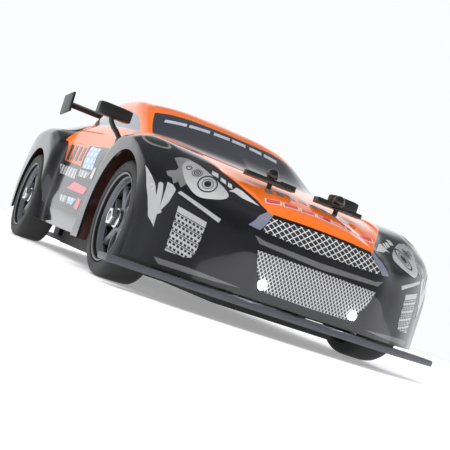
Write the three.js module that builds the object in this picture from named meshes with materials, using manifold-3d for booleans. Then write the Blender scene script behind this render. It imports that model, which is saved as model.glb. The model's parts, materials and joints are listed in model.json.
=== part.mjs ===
// A 1:16 remote control drift car: a chassis with a shaft drive to both axles, four wheels with
// steering in front, and a thin lift-off body shell held down by clips.
// Millimetres. The nose points to -Y, +Z is up, and the origin is on the ground under the middle.
import * as THREE from "three";
import { mergeVertices } from "three/addons/utils/BufferGeometryUtils.js";
import Module from "manifold-3d";

// ---- driving dimensions ----
const WHEELBASE = 180;
const TRACK_OVER_TYRES = 145.4;
const TYRE_DIAMETER = 52;
const TYRE_WIDTH = 17.4;
const RIM_DIAMETER = 40;
const AXLE_DIAMETER = 4.4;
const GAP = 0.3; // between pieces that touch on the real car
const RUNNING_GAP = 0.4; // round anything that turns

const FRONT_OVERHANG = 56;
const REAR_OVERHANG = 57.5;
const FENDER_COVER = 2.9; // how far the shell reaches past the tyres
const BODY_HEIGHT = 99.3;
const SHELL_WALL = 1.2;
const ARCH_GAP = 5; // tyre to wheel arch
const ARCH_DROP = 2; // arch centre below the axle
const REAR_ARCH_SHIFT = -2;

const GROUND_CLEARANCE = 5.5;
const TUB_PLATE = 2.5;
const TUB_WALL = 2;
const TUB_NOSE_HALF_WIDTH = 30;
const TUB_WALL_TOP = 18;
const WHEEL_TO_TUB = 7.3; // rear wheel to the side of the tub
const UPRIGHT_WIDTH = 7;
const SPLITTER_STEP = 5.4; // past the shell at each side
const SPLITTER_THICKNESS = 2.8;

const KINGPIN_INSET = 14; // from the middle of the wheel
const KINGPIN_DIAMETER = 3.6;
const DOGBONE_GAP = 5.6; // from the kingpin
const STEERING_ARM = 18;
const SERVO_HORN = 10.5;
const GEARBOX_HALF_WIDTH = 17;
const GEARBOX_HALF_LENGTH = 14;
const GEARBOX_WALL = 2.4;
const GEARBOX_TOP = 14.6; // above the axle
const BRACE_THICKNESS = 2.6;
const RING_GEAR_DIAMETER = 23;
const RING_GEAR_WIDTH = 3.4;
const RING_GEAR_X = 5;
const RING_TEETH = 20;
const SPUR_TEETH = 22;
const PINION_TEETH = 7;
const SHAFT_DIAMETER = 4;
const SPUR_DIAMETER = 28;
const PINION_DIAMETER = 8.8;
const GEAR_WIDTH = 5;
const MOTOR_DIAMETER = 24;
const MOTOR_LENGTH = 30;
const BATTERY = { width: 32, length: 76, height: 19.4 };
const POST_DIAMETER = 4.8;
const POST_TIP_DIAMETER = 2.2;
const CLIP_TO_SHELL = 1.2;
const CLIP_THICKNESS = 1.5;
const CLIP_KNOB_DIAMETER = 5.4;
const CLIP_KNOB_Z = 3.4;
const POST_TIP = 3.6; // the post's tip above the bottom of the strap
// Posts, with the reach of the clip's strap inwards and outwards from each.
const CLIP_POST = { x: 17.5, y: -113, inner: 11.5, outer: 13.5 };
const REAR_POST = { x: 20, y: 117, inner: 8, outer: 8 };
const LED = { x: 22, z: 19, diameter: 5 };

// ---- worked out from them ----
const AXLE_Z = TYRE_DIAMETER / 2;
const FRONT_Y = -WHEELBASE / 2;
const REAR_Y = WHEELBASE / 2;
const WHEEL_X = (TRACK_OVER_TYRES - TYRE_WIDTH) / 2;
const AXLE_R = AXLE_DIAMETER / 2;
const TUB_TOP = GROUND_CLEARANCE + TUB_PLATE;
const ARCH_R = TYRE_DIAMETER / 2 + ARCH_GAP;
const BODY_HALF_WIDTH = TRACK_OVER_TYRES / 2 + FENDER_COVER;
const SPLITTER_HALF_WIDTH = BODY_HALF_WIDTH + SPLITTER_STEP;
const KINGPIN_HALF_SPAN = WHEEL_X - KINGPIN_INSET;
const REAR_TUB_HALF_WIDTH = WHEEL_X - TYRE_WIDTH / 2 - WHEEL_TO_TUB;
const BATTERY_X = -BATTERY.width / 2 - SPUR_DIAMETER / 2 - 2;
const TUB_HALF_WIDTH = BATTERY.width / 2 - BATTERY_X + TUB_WALL + 2;
const stretchX = (x) => (x * BODY_HALF_WIDTH) / 75.6;
const stretchZ = (z) => (z * BODY_HEIGHT) / 99.3;
// Lengths between the axles follow the wheelbase; noses and tails keep their own length.
const stretchY = (y) => {
  if (y < -90) return FRONT_Y + ((y + 90) * FRONT_OVERHANG) / 56;
  if (y > 90) return REAR_Y + ((y - 90) * REAR_OVERHANG) / 57.5;
  return (y * WHEELBASE) / 180;
};

// ---- finishes ----
const finish = (color, roughness, metalness = 0) =>
  new THREE.MeshStandardMaterial({ color, roughness, metalness });
const FINISH = {
  shell: finish(0xf06a10, 0.15),
  black: finish(0x15151a, 0.35),
  rubber: finish(0x1b1b1c, 0.9),
  gunmetal: finish(0x44464c, 0.3, 0.7),
  chrome: finish(0xd8dade, 0.12, 1),
  steel: finish(0x9a9ca0, 0.35, 1),
  nylon: finish(0x24252a, 0.6),
  brass: finish(0xc59a4a, 0.35, 1),
  board: finish(0x1c6b3c, 0.5),
  battery: finish(0x2a4fb0, 0.45),
  servo: finish(0x2b2c33, 0.5),
  lens: finish(0xf6f8ff, 0.05),
};

// ---- solid modelling ----
const wasm = await Module();
wasm.setup();

function toSolid(geometry) {
  const bare = geometry.clone();
  bare.deleteAttribute("normal");
  bare.deleteAttribute("uv");
  const merged = mergeVertices(bare, 1e-4);
  return new wasm.Manifold(
    new wasm.Mesh({
      numProp: 3,
      vertProperties: merged.attributes.position.array,
      triVerts: new Uint32Array(merged.index.array),
    }),
  );
}

function toGeometry(solid) {
  const mesh = solid.getMesh();
  const geometry = new THREE.BufferGeometry();
  geometry.setAttribute("position", new THREE.BufferAttribute(mesh.vertProperties, 3));
  geometry.setIndex(new THREE.BufferAttribute(mesh.triVerts, 1));
  geometry.computeVertexNormals();
  return geometry;
}

const join = (...solids) => solids.reduce((a, b) => a.add(b));
const cut = (body, ...tools) => tools.reduce((a, b) => a.subtract(b), body);

// A box between two corners.
function box(x0, x1, y0, y1, z0, z1) {
  const geometry = new THREE.BoxGeometry(x1 - x0, y1 - y0, z1 - z0);
  return toSolid(geometry.translate((x0 + x1) / 2, (y0 + y1) / 2, (z0 + z1) / 2));
}

// Turns a shape built round +Y so that it runs along the named axis.
function along(axis, geometry) {
  if (axis === "x") geometry.rotateZ(-Math.PI / 2);
  if (axis === "z") geometry.rotateX(Math.PI / 2);
  return geometry;
}

// A round bar along an axis from a to b. Its centre is [y, z], [x, z] or [x, y].
function rod(axis, r, a, b, centre = [0, 0], sides = 16) {
  const geometry = along(axis, new THREE.CylinderGeometry(r, r, b - a, sides));
  const mid = (a + b) / 2;
  const [u, v] = centre;
  const place = { x: [mid, u, v], y: [u, mid, v], z: [u, v, mid] }[axis];
  return toSolid(geometry.translate(...place));
}

// A closed [radius, place] profile turned round an axis.
function turned(axis, profile, sides) {
  const points = profile.map(([r, a]) => new THREE.Vector2(r, a));
  if (THREE.ShapeUtils.area(points) < 0) points.reverse();
  points.push(points[0].clone());
  return toSolid(along(axis, new THREE.LatheGeometry(points, sides)));
}

// A plan outline of [x, y] points raised from z0 to z1.
function plate(outline, z0, z1) {
  const shape = new THREE.Shape(outline.map(([x, y]) => new THREE.Vector2(x, y)));
  const geometry = new THREE.ExtrudeGeometry(shape, { depth: z1 - z0, bevelEnabled: false });
  return toSolid(geometry.translate(0, 0, z0));
}

// A toothed wheel round Y, with a bore.
function gear(outerR, bore, teeth, y0, y1) {
  const depth = outerR * 0.1 + 0.3;
  const outline = [];
  for (let i = 0; i < teeth; i++) {
    for (const [share, r] of [
      [0.1, outerR - depth],
      [0.35, outerR],
      [0.65, outerR],
      [0.9, outerR - depth],
    ]) {
      const angle = ((i + share) / teeth) * 2 * Math.PI;
      outline.push([r * Math.cos(angle), r * Math.sin(angle)]);
    }
  }
  const shape = new THREE.Shape(outline.map(([x, z]) => new THREE.Vector2(x, z)));
  const flat = new THREE.ExtrudeGeometry(shape, { depth: y1 - y0, bevelEnabled: false });
  const wheel = toSolid(flat.rotateX(-Math.PI / 2).translate(0, y0, 0));
  return cut(wheel, rod("y", bore, y0 - 1, y1 + 1));
}

// ---- the scene graph ----
const car = new THREE.Group();

function add(parent, name, solid, material) {
  const mesh = new THREE.Mesh(toGeometry(solid), material);
  mesh.name = name;
  parent.add(mesh);
  return mesh;
}

function group(x, y, z, parent = car) {
  const g = new THREE.Group();
  g.position.set(x, y, z);
  parent.add(g);
  return g;
}

// Makes the left piece as drawn and the right one as its mirror image.
function pair(make) {
  for (const [side, sign] of [
    ["left", 1],
    ["right", -1],
  ]) {
    const g = group(0, 0, 0);
    g.scale.x = sign;
    make(side, g);
  }
}

// ---- body shell ----
// Ten body lines run round the car, each as [station, x, y, z] from the nose (0) to the tail (26).
const BODY_LINES = {
  sill: [
    [0, 0, -144.5, 12.5], [2, 28, -143.6, 12.5], [4, 52, -136.5, 12.5], [5, 68, -125.5, 12.5],
    [6, 74.5, -117, 12.5], [8, 75, -90, 12.5], [11, 75, -57, 12.5], [12, 75, -47, 12.5],
    [13, 66.5, -41, 12.5], [14, 65.5, -20, 13], [16, 65.5, 25, 13.5], [17, 66, 53, 14],
    [18, 72, 58, 14.5], [20, 73, 90, 15], [22, 72.5, 123, 16], [23, 68, 134, 17],
    [24, 50, 140, 18], [26, 0, 143, 18],
  ],
  waist: [
    [0, 0, -146, 31], [2, 28, -145, 31], [3, 40, -141.5, 31], [4, 53, -135.5, 31],
    [5, 67.5, -125, 32], [6, 75, -116.5, 33], [8, 75.4, -90, 38], [11, 75.2, -57, 28],
    [12, 75, -49.3, 20], [13, 66.3, -45, 20], [14, 66.2, -20, 22], [16, 66.4, 25, 23],
    [17, 66.8, 54, 24], [18, 73, 60, 26], [20, 73.6, 90, 40], [22, 73, 124, 34],
    [23, 69, 135.5, 34], [24, 51, 144, 36], [26, 0, 147.5, 38],
  ],
  flare: [
    [0, 0, -144, 42], [2, 29, -142.8, 41], [3, 39, -139, 41.5], [4, 52, -133.5, 43],
    [5, 66, -123.5, 46], [6, 73.5, -113.5, 50.5], [7, 75.2, -101, 56.5], [8, 75.6, -90, 59.5],
    [9, 75.6, -79, 60], [10, 75.4, -68, 56.5], [11, 75.2, -57, 46], [12, 75, -50, 27],
    [13, 66.6, -47, 26], [14, 66.6, -20, 36], [16, 66.9, 25, 37], [17, 67.3, 53, 38],
    [18, 73.3, 59.5, 50], [19, 73.8, 75, 62], [20, 73.8, 90, 63.5], [21, 73.6, 105, 62],
    [22, 72.5, 120, 58], [23, 69, 135.5, 55], [24, 51, 144, 57], [26, 0, 147, 58],
  ],
  inset: [
    [0, 0, -143, 44.2], [2, 28.5, -141.3, 43], [3, 38, -137, 44], [4, 50, -130.5, 46.5],
    [5, 61.5, -120.5, 51.5], [6, 68.5, -111, 56], [7, 72, -101, 59.8], [8, 73, -90, 62.3],
    [9, 72.5, -79, 62.8], [10, 71, -68, 60], [11, 67.5, -57.5, 50.5], [12, 66.3, -51, 34],
    [13, 66.5, -46, 34], [14, 65.6, -20, 50], [16, 65.8, 25, 52], [17, 66.6, 53, 54],
    [18, 71, 59, 60], [19, 71.5, 75, 67], [20, 71.8, 90, 68], [21, 71.4, 105, 67],
    [22, 70, 120, 65], [23, 65.5, 134.5, 64], [24, 49, 142, 66], [26, 0, 145, 68],
  ],
  belt: [
    [0, 0, -141.5, 46.3], [1, 14, -141, 46], [2, 28, -139.3, 44.8], [3, 37, -134, 46.5],
    [4, 46, -127, 50], [5, 54, -118, 55.5], [6, 59, -108, 60.5], [7, 61.5, -99, 63.3],
    [8, 62.8, -90, 64.8], [9, 63, -79, 65.4], [10, 62.8, -68, 65.2], [11, 61.8, -57, 64.6],
    [12, 60.8, -49, 64], [13, 60.5, -44, 63.6], [14, 60.5, -20, 63.3], [15, 60.8, 0, 64],
    [16, 61.2, 25, 65.5], [17, 62, 52, 68.5], [18, 62.4, 58, 69.3], [19, 63.2, 75, 71],
    [20, 63.5, 90, 71.3], [21, 63.2, 105, 71], [22, 62, 119, 70.2], [23, 57, 133, 70],
    [24, 40, 139, 72], [25, 20, 141, 74], [26, 0, 142, 75],
  ],
  shoulder: [
    [0, 0, -138.5, 50], [1, 14, -138, 49.6], [2, 26, -137, 47.8], [3, 30, -131.5, 50.5],
    [4, 35, -124.5, 53.8], [5, 39.5, -117, 57], [6, 43, -109, 60.2], [7, 44.5, -99, 63],
    [8, 46, -89, 64.8], [9, 47, -78, 66.3], [10, 48.2, -67, 67.8], [11, 49.5, -56, 69.4],
    [12, 50.3, -47, 70.6], [13, 51, -41, 71.4], [14, 54.5, -20, 72], [15, 54.8, 0, 73.5],
    [16, 54.3, 25, 75], [17, 54, 52, 76], [19, 54.5, 75, 76.3], [20, 55, 90, 76],
    [21, 54.5, 105, 75.5], [22, 53, 119, 75], [23, 48, 130, 75.3], [24, 36, 134, 76.5],
    [25, 20, 136, 78.5], [26, 0, 137, 79.5],
  ],
  bonnet: [
    [0, 0, -100, 63], [3, 28, -95, 63.7], [6, 42.5, -75, 67], [9, 47.3, -58, 69.5],
    [11, 49.8, -46, 70.8], [13, 51.3, -34, 72], [14, 53.6, -16, 72.8], [15, 54, 2, 74.2],
    [16, 53.6, 25, 75.6], [18, 53.2, 60, 76.7], [20, 52.5, 89.5, 77], [22, 45, 111, 77.2],
    [24, 28, 120, 78.6], [26, 0, 122, 80.3],
  ],
  glassBase: [
    [0, 0, -57.5, 69.4], [3, 26, -51.5, 70.4], [6, 41, -43.5, 71.9], [9, 47.5, -39, 72],
    [11, 49.8, -36, 72], [12, 50.6, -32.5, 72.2], [13, 51.2, -27, 72.7], [14, 52.5, -12, 73.5],
    [15, 53, 2, 74.6], [16, 52.8, 25, 76], [17, 52.3, 52, 77], [19, 51.8, 75, 77.2],
    [20, 49.5, 89, 77.7], [21, 44, 98, 78.5], [22, 37, 103, 79.3], [24, 20, 107, 80.5],
    [26, 0, 108, 81],
  ],
  roofEdge: [
    [0, 0, 0, 94.4], [3, 21, -0.6, 94], [6, 33.5, -1, 92.8], [8, 39, 0, 92], [10, 41.8, 3, 91.8],
    [12, 43, 9, 92.5], [14, 43.8, 22, 94], [16, 43.5, 45, 94.6], [18, 42.5, 60, 93.8],
    [19, 41.3, 68, 92.5], [20, 38.8, 74.5, 91.4], [22, 29, 79, 91.8], [24, 16, 80.5, 92.6],
    [26, 0, 81, 93],
  ],
  spine: [
    [0, 0, 14, 98], [12, 0, 28, 99.1], [16, 0, 42, 99.3], [20, 0, 56, 98.4], [26, 0, 66, 97],
  ],
};
const LAST_STATION = 26;
// Rows of the skin, as places between the body lines: 0 is the sill and 9 the spine.
const SKIN_ROWS = [0, 1, 2, 3, 4, 4.5, 5, 5.5, 6, 6.5, 7, 7.5, 8, 8.5, 9];
const BELT_ROW = 4;
const SPINE_ROW = 9;

// A smooth curve through values v at places t that never overshoots them.
function ease(t, v, s) {
  const rise = t.slice(1).map((end, i) => (v[i + 1] - v[i]) / (end - t[i]));
  const slope = (i) => {
    if (i === 0) return rise[0];
    if (i === rise.length) return rise[i - 1];
    const product = rise[i - 1] * rise[i];
    return product <= 0 ? 0 : (2 * product) / (rise[i - 1] + rise[i]);
  };
  let i = 0;
  while (i < t.length - 2 && s > t[i + 1]) i++;
  const h = t[i + 1] - t[i];
  const u = (s - t[i]) / h;
  const w = 1 - u;
  return (
    v[i] * (1 + 2 * u) * w * w +
    slope(i) * h * u * w * w +
    v[i + 1] * u * u * (3 - 2 * u) -
    slope(i + 1) * h * u * u * w
  );
}

const bodyLines = Object.values(BODY_LINES);
const lineNumbers = bodyLines.map((_, i) => i);
const AXES = [1, 2, 3];

// The outer surface at a station round the car and a height from the sill (0) to the spine (9).
function bodyPoint(station, row) {
  const column = bodyLines.map((line) => {
    const t = line.map((knot) => knot[0]);
    return AXES.map((c) => ease(t, line.map((knot) => knot[c]), station));
  });
  const [x, y, z] = AXES.map((_, c) => ease(lineNumbers, column.map((p) => p[c]), row));
  return new THREE.Vector3(stretchX(x), stretchY(y), stretchZ(z));
}

// Height of the outer surface over a point of the plan, found on a fine grid of the upper rows.
function bodyTop(x, y) {
  let best = [Infinity, 0];
  for (let s = 0; s <= LAST_STATION; s += 0.25) {
    for (let row = BELT_ROW; row <= SPINE_ROW; row += 0.125) {
      const p = bodyPoint(s, row);
      const d = Math.hypot(p.x - x, p.y - y);
      if (d < best[0]) best = [d, p.z];
    }
  }
  return best[1];
}

// Stations are closer together where the shape turns.
function stationList() {
  const list = [];
  for (let s = 0; s < LAST_STATION; s += 1) {
    list.push(s);
    if ((s >= 2 && s < 6) || s === 12 || s === 17 || s === 22) list.push(s + 0.5);
  }
  return [...list, LAST_STATION];
}

// The closed skin of the shell: an outer and an inner surface joined along the bottom edge.
function shellSolid() {
  const stations = stationList();
  const n = stations.length;
  const columns = 2 * (n - 1);
  const rows = SKIN_ROWS.length - 1;
  const halfIndex = (c) => (c < n ? c : columns - c);
  const index = (row, c) =>
    row < rows ? row * columns + (c % columns) : rows * columns + halfIndex(c % columns);
  const outer = [];
  for (let row = 0; row < rows; row++) {
    for (let c = 0; c < columns; c++) {
      const p = bodyPoint(stations[halfIndex(c)], SKIN_ROWS[row]);
      outer.push(c < n ? p : p.setX(-p.x));
    }
  }
  for (const s of stations) outer.push(bodyPoint(s, SKIN_ROWS[rows]).setX(0));
  const faces = [];
  for (let row = 0; row < rows; row++) {
    for (let c = 0; c < columns; c++) {
      const [a, b] = [index(row, c), index(row, c + 1)];
      const [d, e] = [index(row + 1, c), index(row + 1, c + 1)];
      faces.push([a, b, e]);
      if (d !== e) faces.push([a, e, d]);
    }
  }
  const normals = outer.map(() => new THREE.Vector3());
  for (const [a, b, c] of faces) {
    const side = outer[b].clone().sub(outer[a]);
    const normal = side.cross(outer[c].clone().sub(outer[a]));
    for (const i of [a, b, c]) normals[i].add(normal);
  }
  const inner = outer.map((p, i) => {
    const q = p.clone().addScaledVector(normals[i].normalize(), -SHELL_WALL);
    return i < columns ? q.setZ(p.z) : q;
  });
  const count = outer.length;
  const triangles = faces.flat();
  for (const [a, b, c] of faces) triangles.push(a + count, c + count, b + count);
  for (let c = 0; c < columns; c++) {
    const [a, b] = [index(0, c), index(0, c + 1)];
    triangles.push(a, a + count, b + count, a, b + count, b);
  }
  const positions = [...outer, ...inner].flatMap((p) => [p.x, p.y, p.z]);
  const geometry = new THREE.BufferGeometry();
  geometry.setAttribute("position", new THREE.Float32BufferAttribute(positions, 3));
  geometry.setIndex(triangles);
  return toSolid(geometry);
}

function makeBodyShell() {
  const archZ = AXLE_Z - ARCH_DROP;
  const inboard = KINGPIN_HALF_SPAN;
  const tools = [];
  for (const side of [-1, 1]) {
    const [a, b] = side > 0 ? [inboard, 100] : [-100, -inboard];
    tools.push(rod("x", ARCH_R, a, b, [FRONT_Y + 0.5, archZ], 48));
    tools.push(rod("x", ARCH_R, a, b, [REAR_Y + REAR_ARCH_SHIFT, archZ], 48));
    tools.push(box(a, b, FRONT_Y - ARCH_R + 0.5, FRONT_Y + ARCH_R + 0.5, 0, archZ));
    const rear = REAR_Y + REAR_ARCH_SHIFT;
    tools.push(box(a, b, rear - ARCH_R, rear + ARCH_R, 0, archZ));
    const tipR = POST_TIP_DIAMETER / 2 + RUNNING_GAP;
    tools.push(rod("z", tipR, 40, 120, [side * CLIP_POST.x, stretchY(CLIP_POST.y)], 12));
    tools.push(rod("z", tipR, 60, 120, [side * REAR_POST.x, stretchY(REAR_POST.y)], 12));
    const ledR = LED.diameter / 2 + GAP;
    const nose = stretchY(-146);
    tools.push(rod("y", ledR, nose - 20, nose + 20, [side * LED.x, LED.z], 16));
  }
  add(car, "body_shell", cut(shellSolid(), ...tools), FINISH.shell);
}

function makeHeadlightLeds() {
  pair((side, g) => {
    const r = LED.diameter / 2;
    const front = stretchY(-145.8);
    const profile = [
      [0, front], [r * 0.6, front + 0.6], [r, front + 2.2], [r, front + 9], [0, front + 9],
    ];
    const points = profile.map(([radius, y]) => new THREE.Vector2(radius, y));
    const bulb = toSolid(new THREE.LatheGeometry(points, 16).translate(LED.x, 0, LED.z));
    add(g, `headlight_led_${side}`, bulb, FINISH.lens);
  });
}

const MIRROR_STATION = 13.6;

function makeMirrors() {
  pair((side, g) => {
    const y = stretchY(-30);
    const belt = bodyPoint(MIRROR_STATION, BELT_ROW);
    const foot = belt.x + 2;
    const inner = stretchX(61);
    const housing = box(inner, inner + 17, y - 3.2, y + 3.6, stretchZ(72.5), stretchZ(79));
    const route = new THREE.CatmullRomCurve3([
      new THREE.Vector3(foot + 0.8, y, belt.z + 0.6),
      new THREE.Vector3(foot + 3.4, y, belt.z + 3),
      new THREE.Vector3(inner + 9, y, stretchZ(70)),
      new THREE.Vector3(inner + 9.8, y, stretchZ(74)),
    ]);
    const section = new THREE.Shape();
    section.absarc(0, 0, 1.5, 0, 2 * Math.PI, false);
    const options = { steps: 6, extrudePath: route, curveSegments: 8, bevelEnabled: false };
    const stalk = toSolid(new THREE.ExtrudeGeometry(section, options));
    const flange = box(foot, foot + 1.6, y - 3.2, y + 3.2, belt.z - 1.8, belt.z + 2.4);
    add(g, `mirror_${side}`, join(housing, stalk, flange), FINISH.black);
  });
}

function makeWing() {
  const front = stretchY(101);
  const blade = box(-62.7, 62.7, front, front + 13, stretchZ(87.6), stretchZ(87.6) + 2.4);
  const stays = [-1, 1].map((side) => {
    const [x0, x1] = side > 0 ? [29, 31.2] : [-31.2, -29];
    const bottom = bodyTop(30, front + 7) + 0.9;
    return box(x0, x1, front + 7, front + 12.5, bottom, stretchZ(88));
  });
  add(car, "wing_blade", join(blade, ...stays), FINISH.black);
  pair((side, g) => {
    const outline = [[91, 83], [113, 81], [114.6, 94], [93.7, 95.5]];
    const flat = outline.map(([y, z]) => [stretchY(y), stretchZ(z)]);
    const shape = new THREE.Shape(flat.map(([y, z]) => new THREE.Vector2(y, z)));
    const geometry = new THREE.ExtrudeGeometry(shape, { depth: 1.6, bevelEnabled: false });
    geometry.rotateX(Math.PI / 2).rotateZ(Math.PI / 2).translate(63, 0, 0);
    add(g, `wing_end_plate_${side}`, toSolid(geometry), FINISH.black);
  });
}

// The height at which a clip's strap clears the shell all along.
function clipSeat(post) {
  const reach = [-post.inner, 0, post.outer].map((x) => post.x + x);
  return Math.max(...reach.map((x) => bodyTop(x, stretchY(post.y)))) + CLIP_TO_SHELL;
}

// A clip is a perforated strap over the post, with a round knob that grips the post's tip.
function makeBodyClips() {
  const bore = (z0, z1) => rod("z", POST_TIP_DIAMETER / 2 + GAP, z0, z1, [0, 0], 12);
  const ball = new THREE.SphereGeometry(CLIP_KNOB_DIAMETER / 2, 12, 8);
  const knob = toSolid(ball.translate(0, 0, CLIP_KNOB_Z));
  const strapFor = (post) => box(-post.inner, post.outer, -2.2, 2.2, 0, CLIP_THICKNESS);
  const foot = box(-4, 4, -4, 4, -1, CLIP_THICKNESS + GAP);
  pair((side, g) => {
    const at = group(CLIP_POST.x, stretchY(CLIP_POST.y), clipSeat(CLIP_POST), g);
    const lightening = [5.5, 8.2, 10.9].map((x) => rod("z", 0.8, -5, 5, [x, 0], 8));
    const strap = cut(strapFor(CLIP_POST), bore(-5, 5), ...lightening);
    add(at, `clip_plate_${side}`, strap, FINISH.black);
    add(at, `clip_knob_${side}`, cut(knob, foot, bore(0, POST_TIP + 0.9)), FINISH.black);
  });
  pair((side, g) => {
    const at = group(REAR_POST.x, stretchY(REAR_POST.y), clipSeat(REAR_POST), g);
    const clip = cut(join(strapFor(REAR_POST), knob), bore(-1, POST_TIP + 0.9));
    add(at, `rear_clip_${side}`, clip, FINISH.black);
  });
}

// ---- chassis ----
function makeTub() {
  const outline = [
    [TUB_NOSE_HALF_WIDTH, -122], [TUB_NOSE_HALF_WIDTH, -62], [TUB_HALF_WIDTH, -55],
    [TUB_HALF_WIDTH, 55], [REAR_TUB_HALF_WIDTH, 60], [REAR_TUB_HALF_WIDTH, 110],
    [REAR_TUB_HALF_WIDTH - 14, 128],
  ].map(([x, y]) => [x, stretchY(y)]);
  const mirrored = outline.map(([x, y]) => [-x, y]).reverse();
  const floor = plate([...outline, ...mirrored], GROUND_CLEARANCE, TUB_TOP);
  const [y0, y1] = [stretchY(-54), stretchY(54)];
  const walls = [-1, 1].map((side) => {
    const middle = side * (TUB_HALF_WIDTH - TUB_WALL / 2);
    return box(middle - TUB_WALL / 2, middle + TUB_WALL / 2, y0, y1, TUB_TOP - 1, TUB_WALL_TOP);
  });
  const w = TUB_HALF_WIDTH;
  const rib = box(-w, w, y1 - 1, y1 + 1, TUB_TOP - 1, TUB_TOP + 4);
  const cradleTop = AXLE_Z - MOTOR_DIAMETER / 2 - RUNNING_GAP;
  const cradle = box(motorX() - 9, motorX() + 9, MOTOR_Y + 4, MOTOR_Y + 16, TUB_TOP - 1, cradleTop);
  const c = BATTERY_COVER;
  const hatch = box(c.x0, c.x1, c.y0, c.y1, 0, TUB_TOP + 1);
  const slot = box(SWITCH.x0, SWITCH.x1, SWITCH.y0, SWITCH.y1, 0, TUB_TOP + 1);
  add(car, "chassis_tub", cut(join(floor, ...walls, rib, cradle), hatch, slot), FINISH.nylon);
}

const SPUR_Y = 30;
const MOTOR_Y = SPUR_Y + GEAR_WIDTH + 2;
const motorX = () => (SPUR_DIAMETER + PINION_DIAMETER) / 2 + RUNNING_GAP;
const BATTERY_COVER = {
  x0: BATTERY_X - 12, x1: BATTERY_X + 12, y0: -BATTERY.length * 0.4, y1: BATTERY.length * 0.4,
};
const SWITCH = { x0: 34, x1: 40, y0: 20, y1: 34 };

function makeBatteryAndBoard() {
  const b = BATTERY;
  const [x0, x1] = [BATTERY_X - b.width / 2, BATTERY_X + b.width / 2];
  const bottom = TUB_TOP + GAP;
  add(
    car,
    "battery_pack",
    box(x0, x1, -b.length / 2, b.length / 2, bottom, bottom + b.height),
    FINISH.battery,
  );
  const c = BATTERY_COVER;
  const lid = box(c.x0 + RUNNING_GAP, c.x1 - RUNNING_GAP, c.y0 + RUNNING_GAP, c.y1 - RUNNING_GAP,
    GROUND_CLEARANCE, TUB_TOP);
  add(car, "battery_cover", lid, FINISH.nylon);
  const card = box(14, 47, -44, 14, 10.2, 11.8);
  const chips = [
    box(18, 30, -38, -24, 11, 16), box(34, 44, -40, -32, 11, 17), box(20, 26, -18, -4, 11, 14),
    box(32, 45, -22, -6, 11, 18), box(30, 44, 2, 12, 11, 17),
  ];
  const feet = [[17, -41], [44, -41], [17, 11], [44, 11]].map(([x, y]) =>
    rod("z", 1.6, TUB_TOP + GAP, 11, [x, y], 8),
  );
  add(car, "control_board", join(card, ...chips, ...feet), FINISH.board);
  const s = SWITCH;
  const mid = (s.y0 + s.y1) / 2;
  const nub = box(s.x0 + RUNNING_GAP, s.x1 - RUNNING_GAP, mid - 5, mid + 1, GROUND_CLEARANCE + 0.4,
    TUB_TOP);
  add(car, "power_switch_slider", nub, FINISH.black);
}

function makeMotor() {
  const x = motorX();
  const r = MOTOR_DIAMETER / 2;
  const can = rod("y", r, MOTOR_Y, MOTOR_Y + MOTOR_LENGTH, [x, AXLE_Z], 28);
  const back = MOTOR_Y + MOTOR_LENGTH;
  const bearing = rod("y", 3.6, back - 1, back + 2, [x, AXLE_Z]);
  const bore = rod("y", 1.5, MOTOR_Y - 1, MOTOR_Y + 5, [x, AXLE_Z], 12);
  add(car, "drive_motor", cut(join(can, bearing), bore), FINISH.steel);
  const at = group(x, 0, AXLE_Z);
  const teeth = gear(PINION_DIAMETER / 2, 0.8, PINION_TEETH, SPUR_Y, SPUR_Y + GEAR_WIDTH);
  const shaft = rod("y", 1.1, SPUR_Y - 1, MOTOR_Y + 4, [0, 0], 12);
  add(at, "motor_pinion", join(teeth, shaft), FINISH.brass);
}

// The shaft along the middle carries the spur gear and a small bevel pinion at each end.
function makeCentreShaft() {
  const r = SHAFT_DIAMETER / 2;
  const end = WHEELBASE / 2 - 6;
  const pinionR = 4;
  const start = end - 4.5;
  const profile = [
    [0, -end], [pinionR - 1.2, -end], [pinionR, -start], [r, -start],
    [r, start], [pinionR, start], [pinionR - 1.2, end], [0, end],
  ];
  const points = profile.map(([radius, y]) => new THREE.Vector2(radius, y));
  const at = group(0, 0, AXLE_Z);
  add(at, "centre_shaft", toSolid(new THREE.LatheGeometry(points, 16)), FINISH.steel);
  const spur = gear(SPUR_DIAMETER / 2, r + GAP, SPUR_TEETH, SPUR_Y, SPUR_Y + GEAR_WIDTH);
  add(at, "spur_gear", spur, FINISH.nylon);
}

function makeGearbox(where, y) {
  const w = GEARBOX_HALF_WIDTH;
  const l = GEARBOX_HALF_LENGTH;
  const t = GEARBOX_WALL;
  const top = AXLE_Z + GEARBOX_TOP;
  const hollow = box(-w + t, w - t, y - l + t, y + l - t, TUB_TOP + GAP + t, top - t);
  const bores = [
    rod("x", AXLE_R + RUNNING_GAP + 1, -w - 2, w + 2, [y, AXLE_Z]),
    y > 0
      ? rod("y", SHAFT_DIAMETER / 2 + RUNNING_GAP, y - l - 2, y, [0, AXLE_Z])
      : rod("y", SHAFT_DIAMETER / 2 + RUNNING_GAP, y, y + l + 2, [0, AXLE_Z]),
  ];
  const lower = box(-w, w, y - l, y + l, TUB_TOP + GAP, AXLE_Z - GAP / 2);
  const upper = box(-w, w, y - l, y + l, AXLE_Z + GAP / 2, top);
  add(car, `${where}_gearbox_case`, cut(lower, hollow, ...bores), FINISH.nylon);
  add(car, `${where}_gearbox_cover`, cut(upper, hollow, ...bores), FINISH.nylon);
}

// A ring gear round X from x to x + 3.4, drawn round Y and then turned.
function ringGear(x) {
  const wheel = gear(RING_GEAR_DIAMETER / 2, AXLE_R + GAP, RING_TEETH, 0, RING_GEAR_WIDTH);
  return toSolid(along("x", toGeometry(wheel)).translate(x, 0, 0));
}

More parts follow.
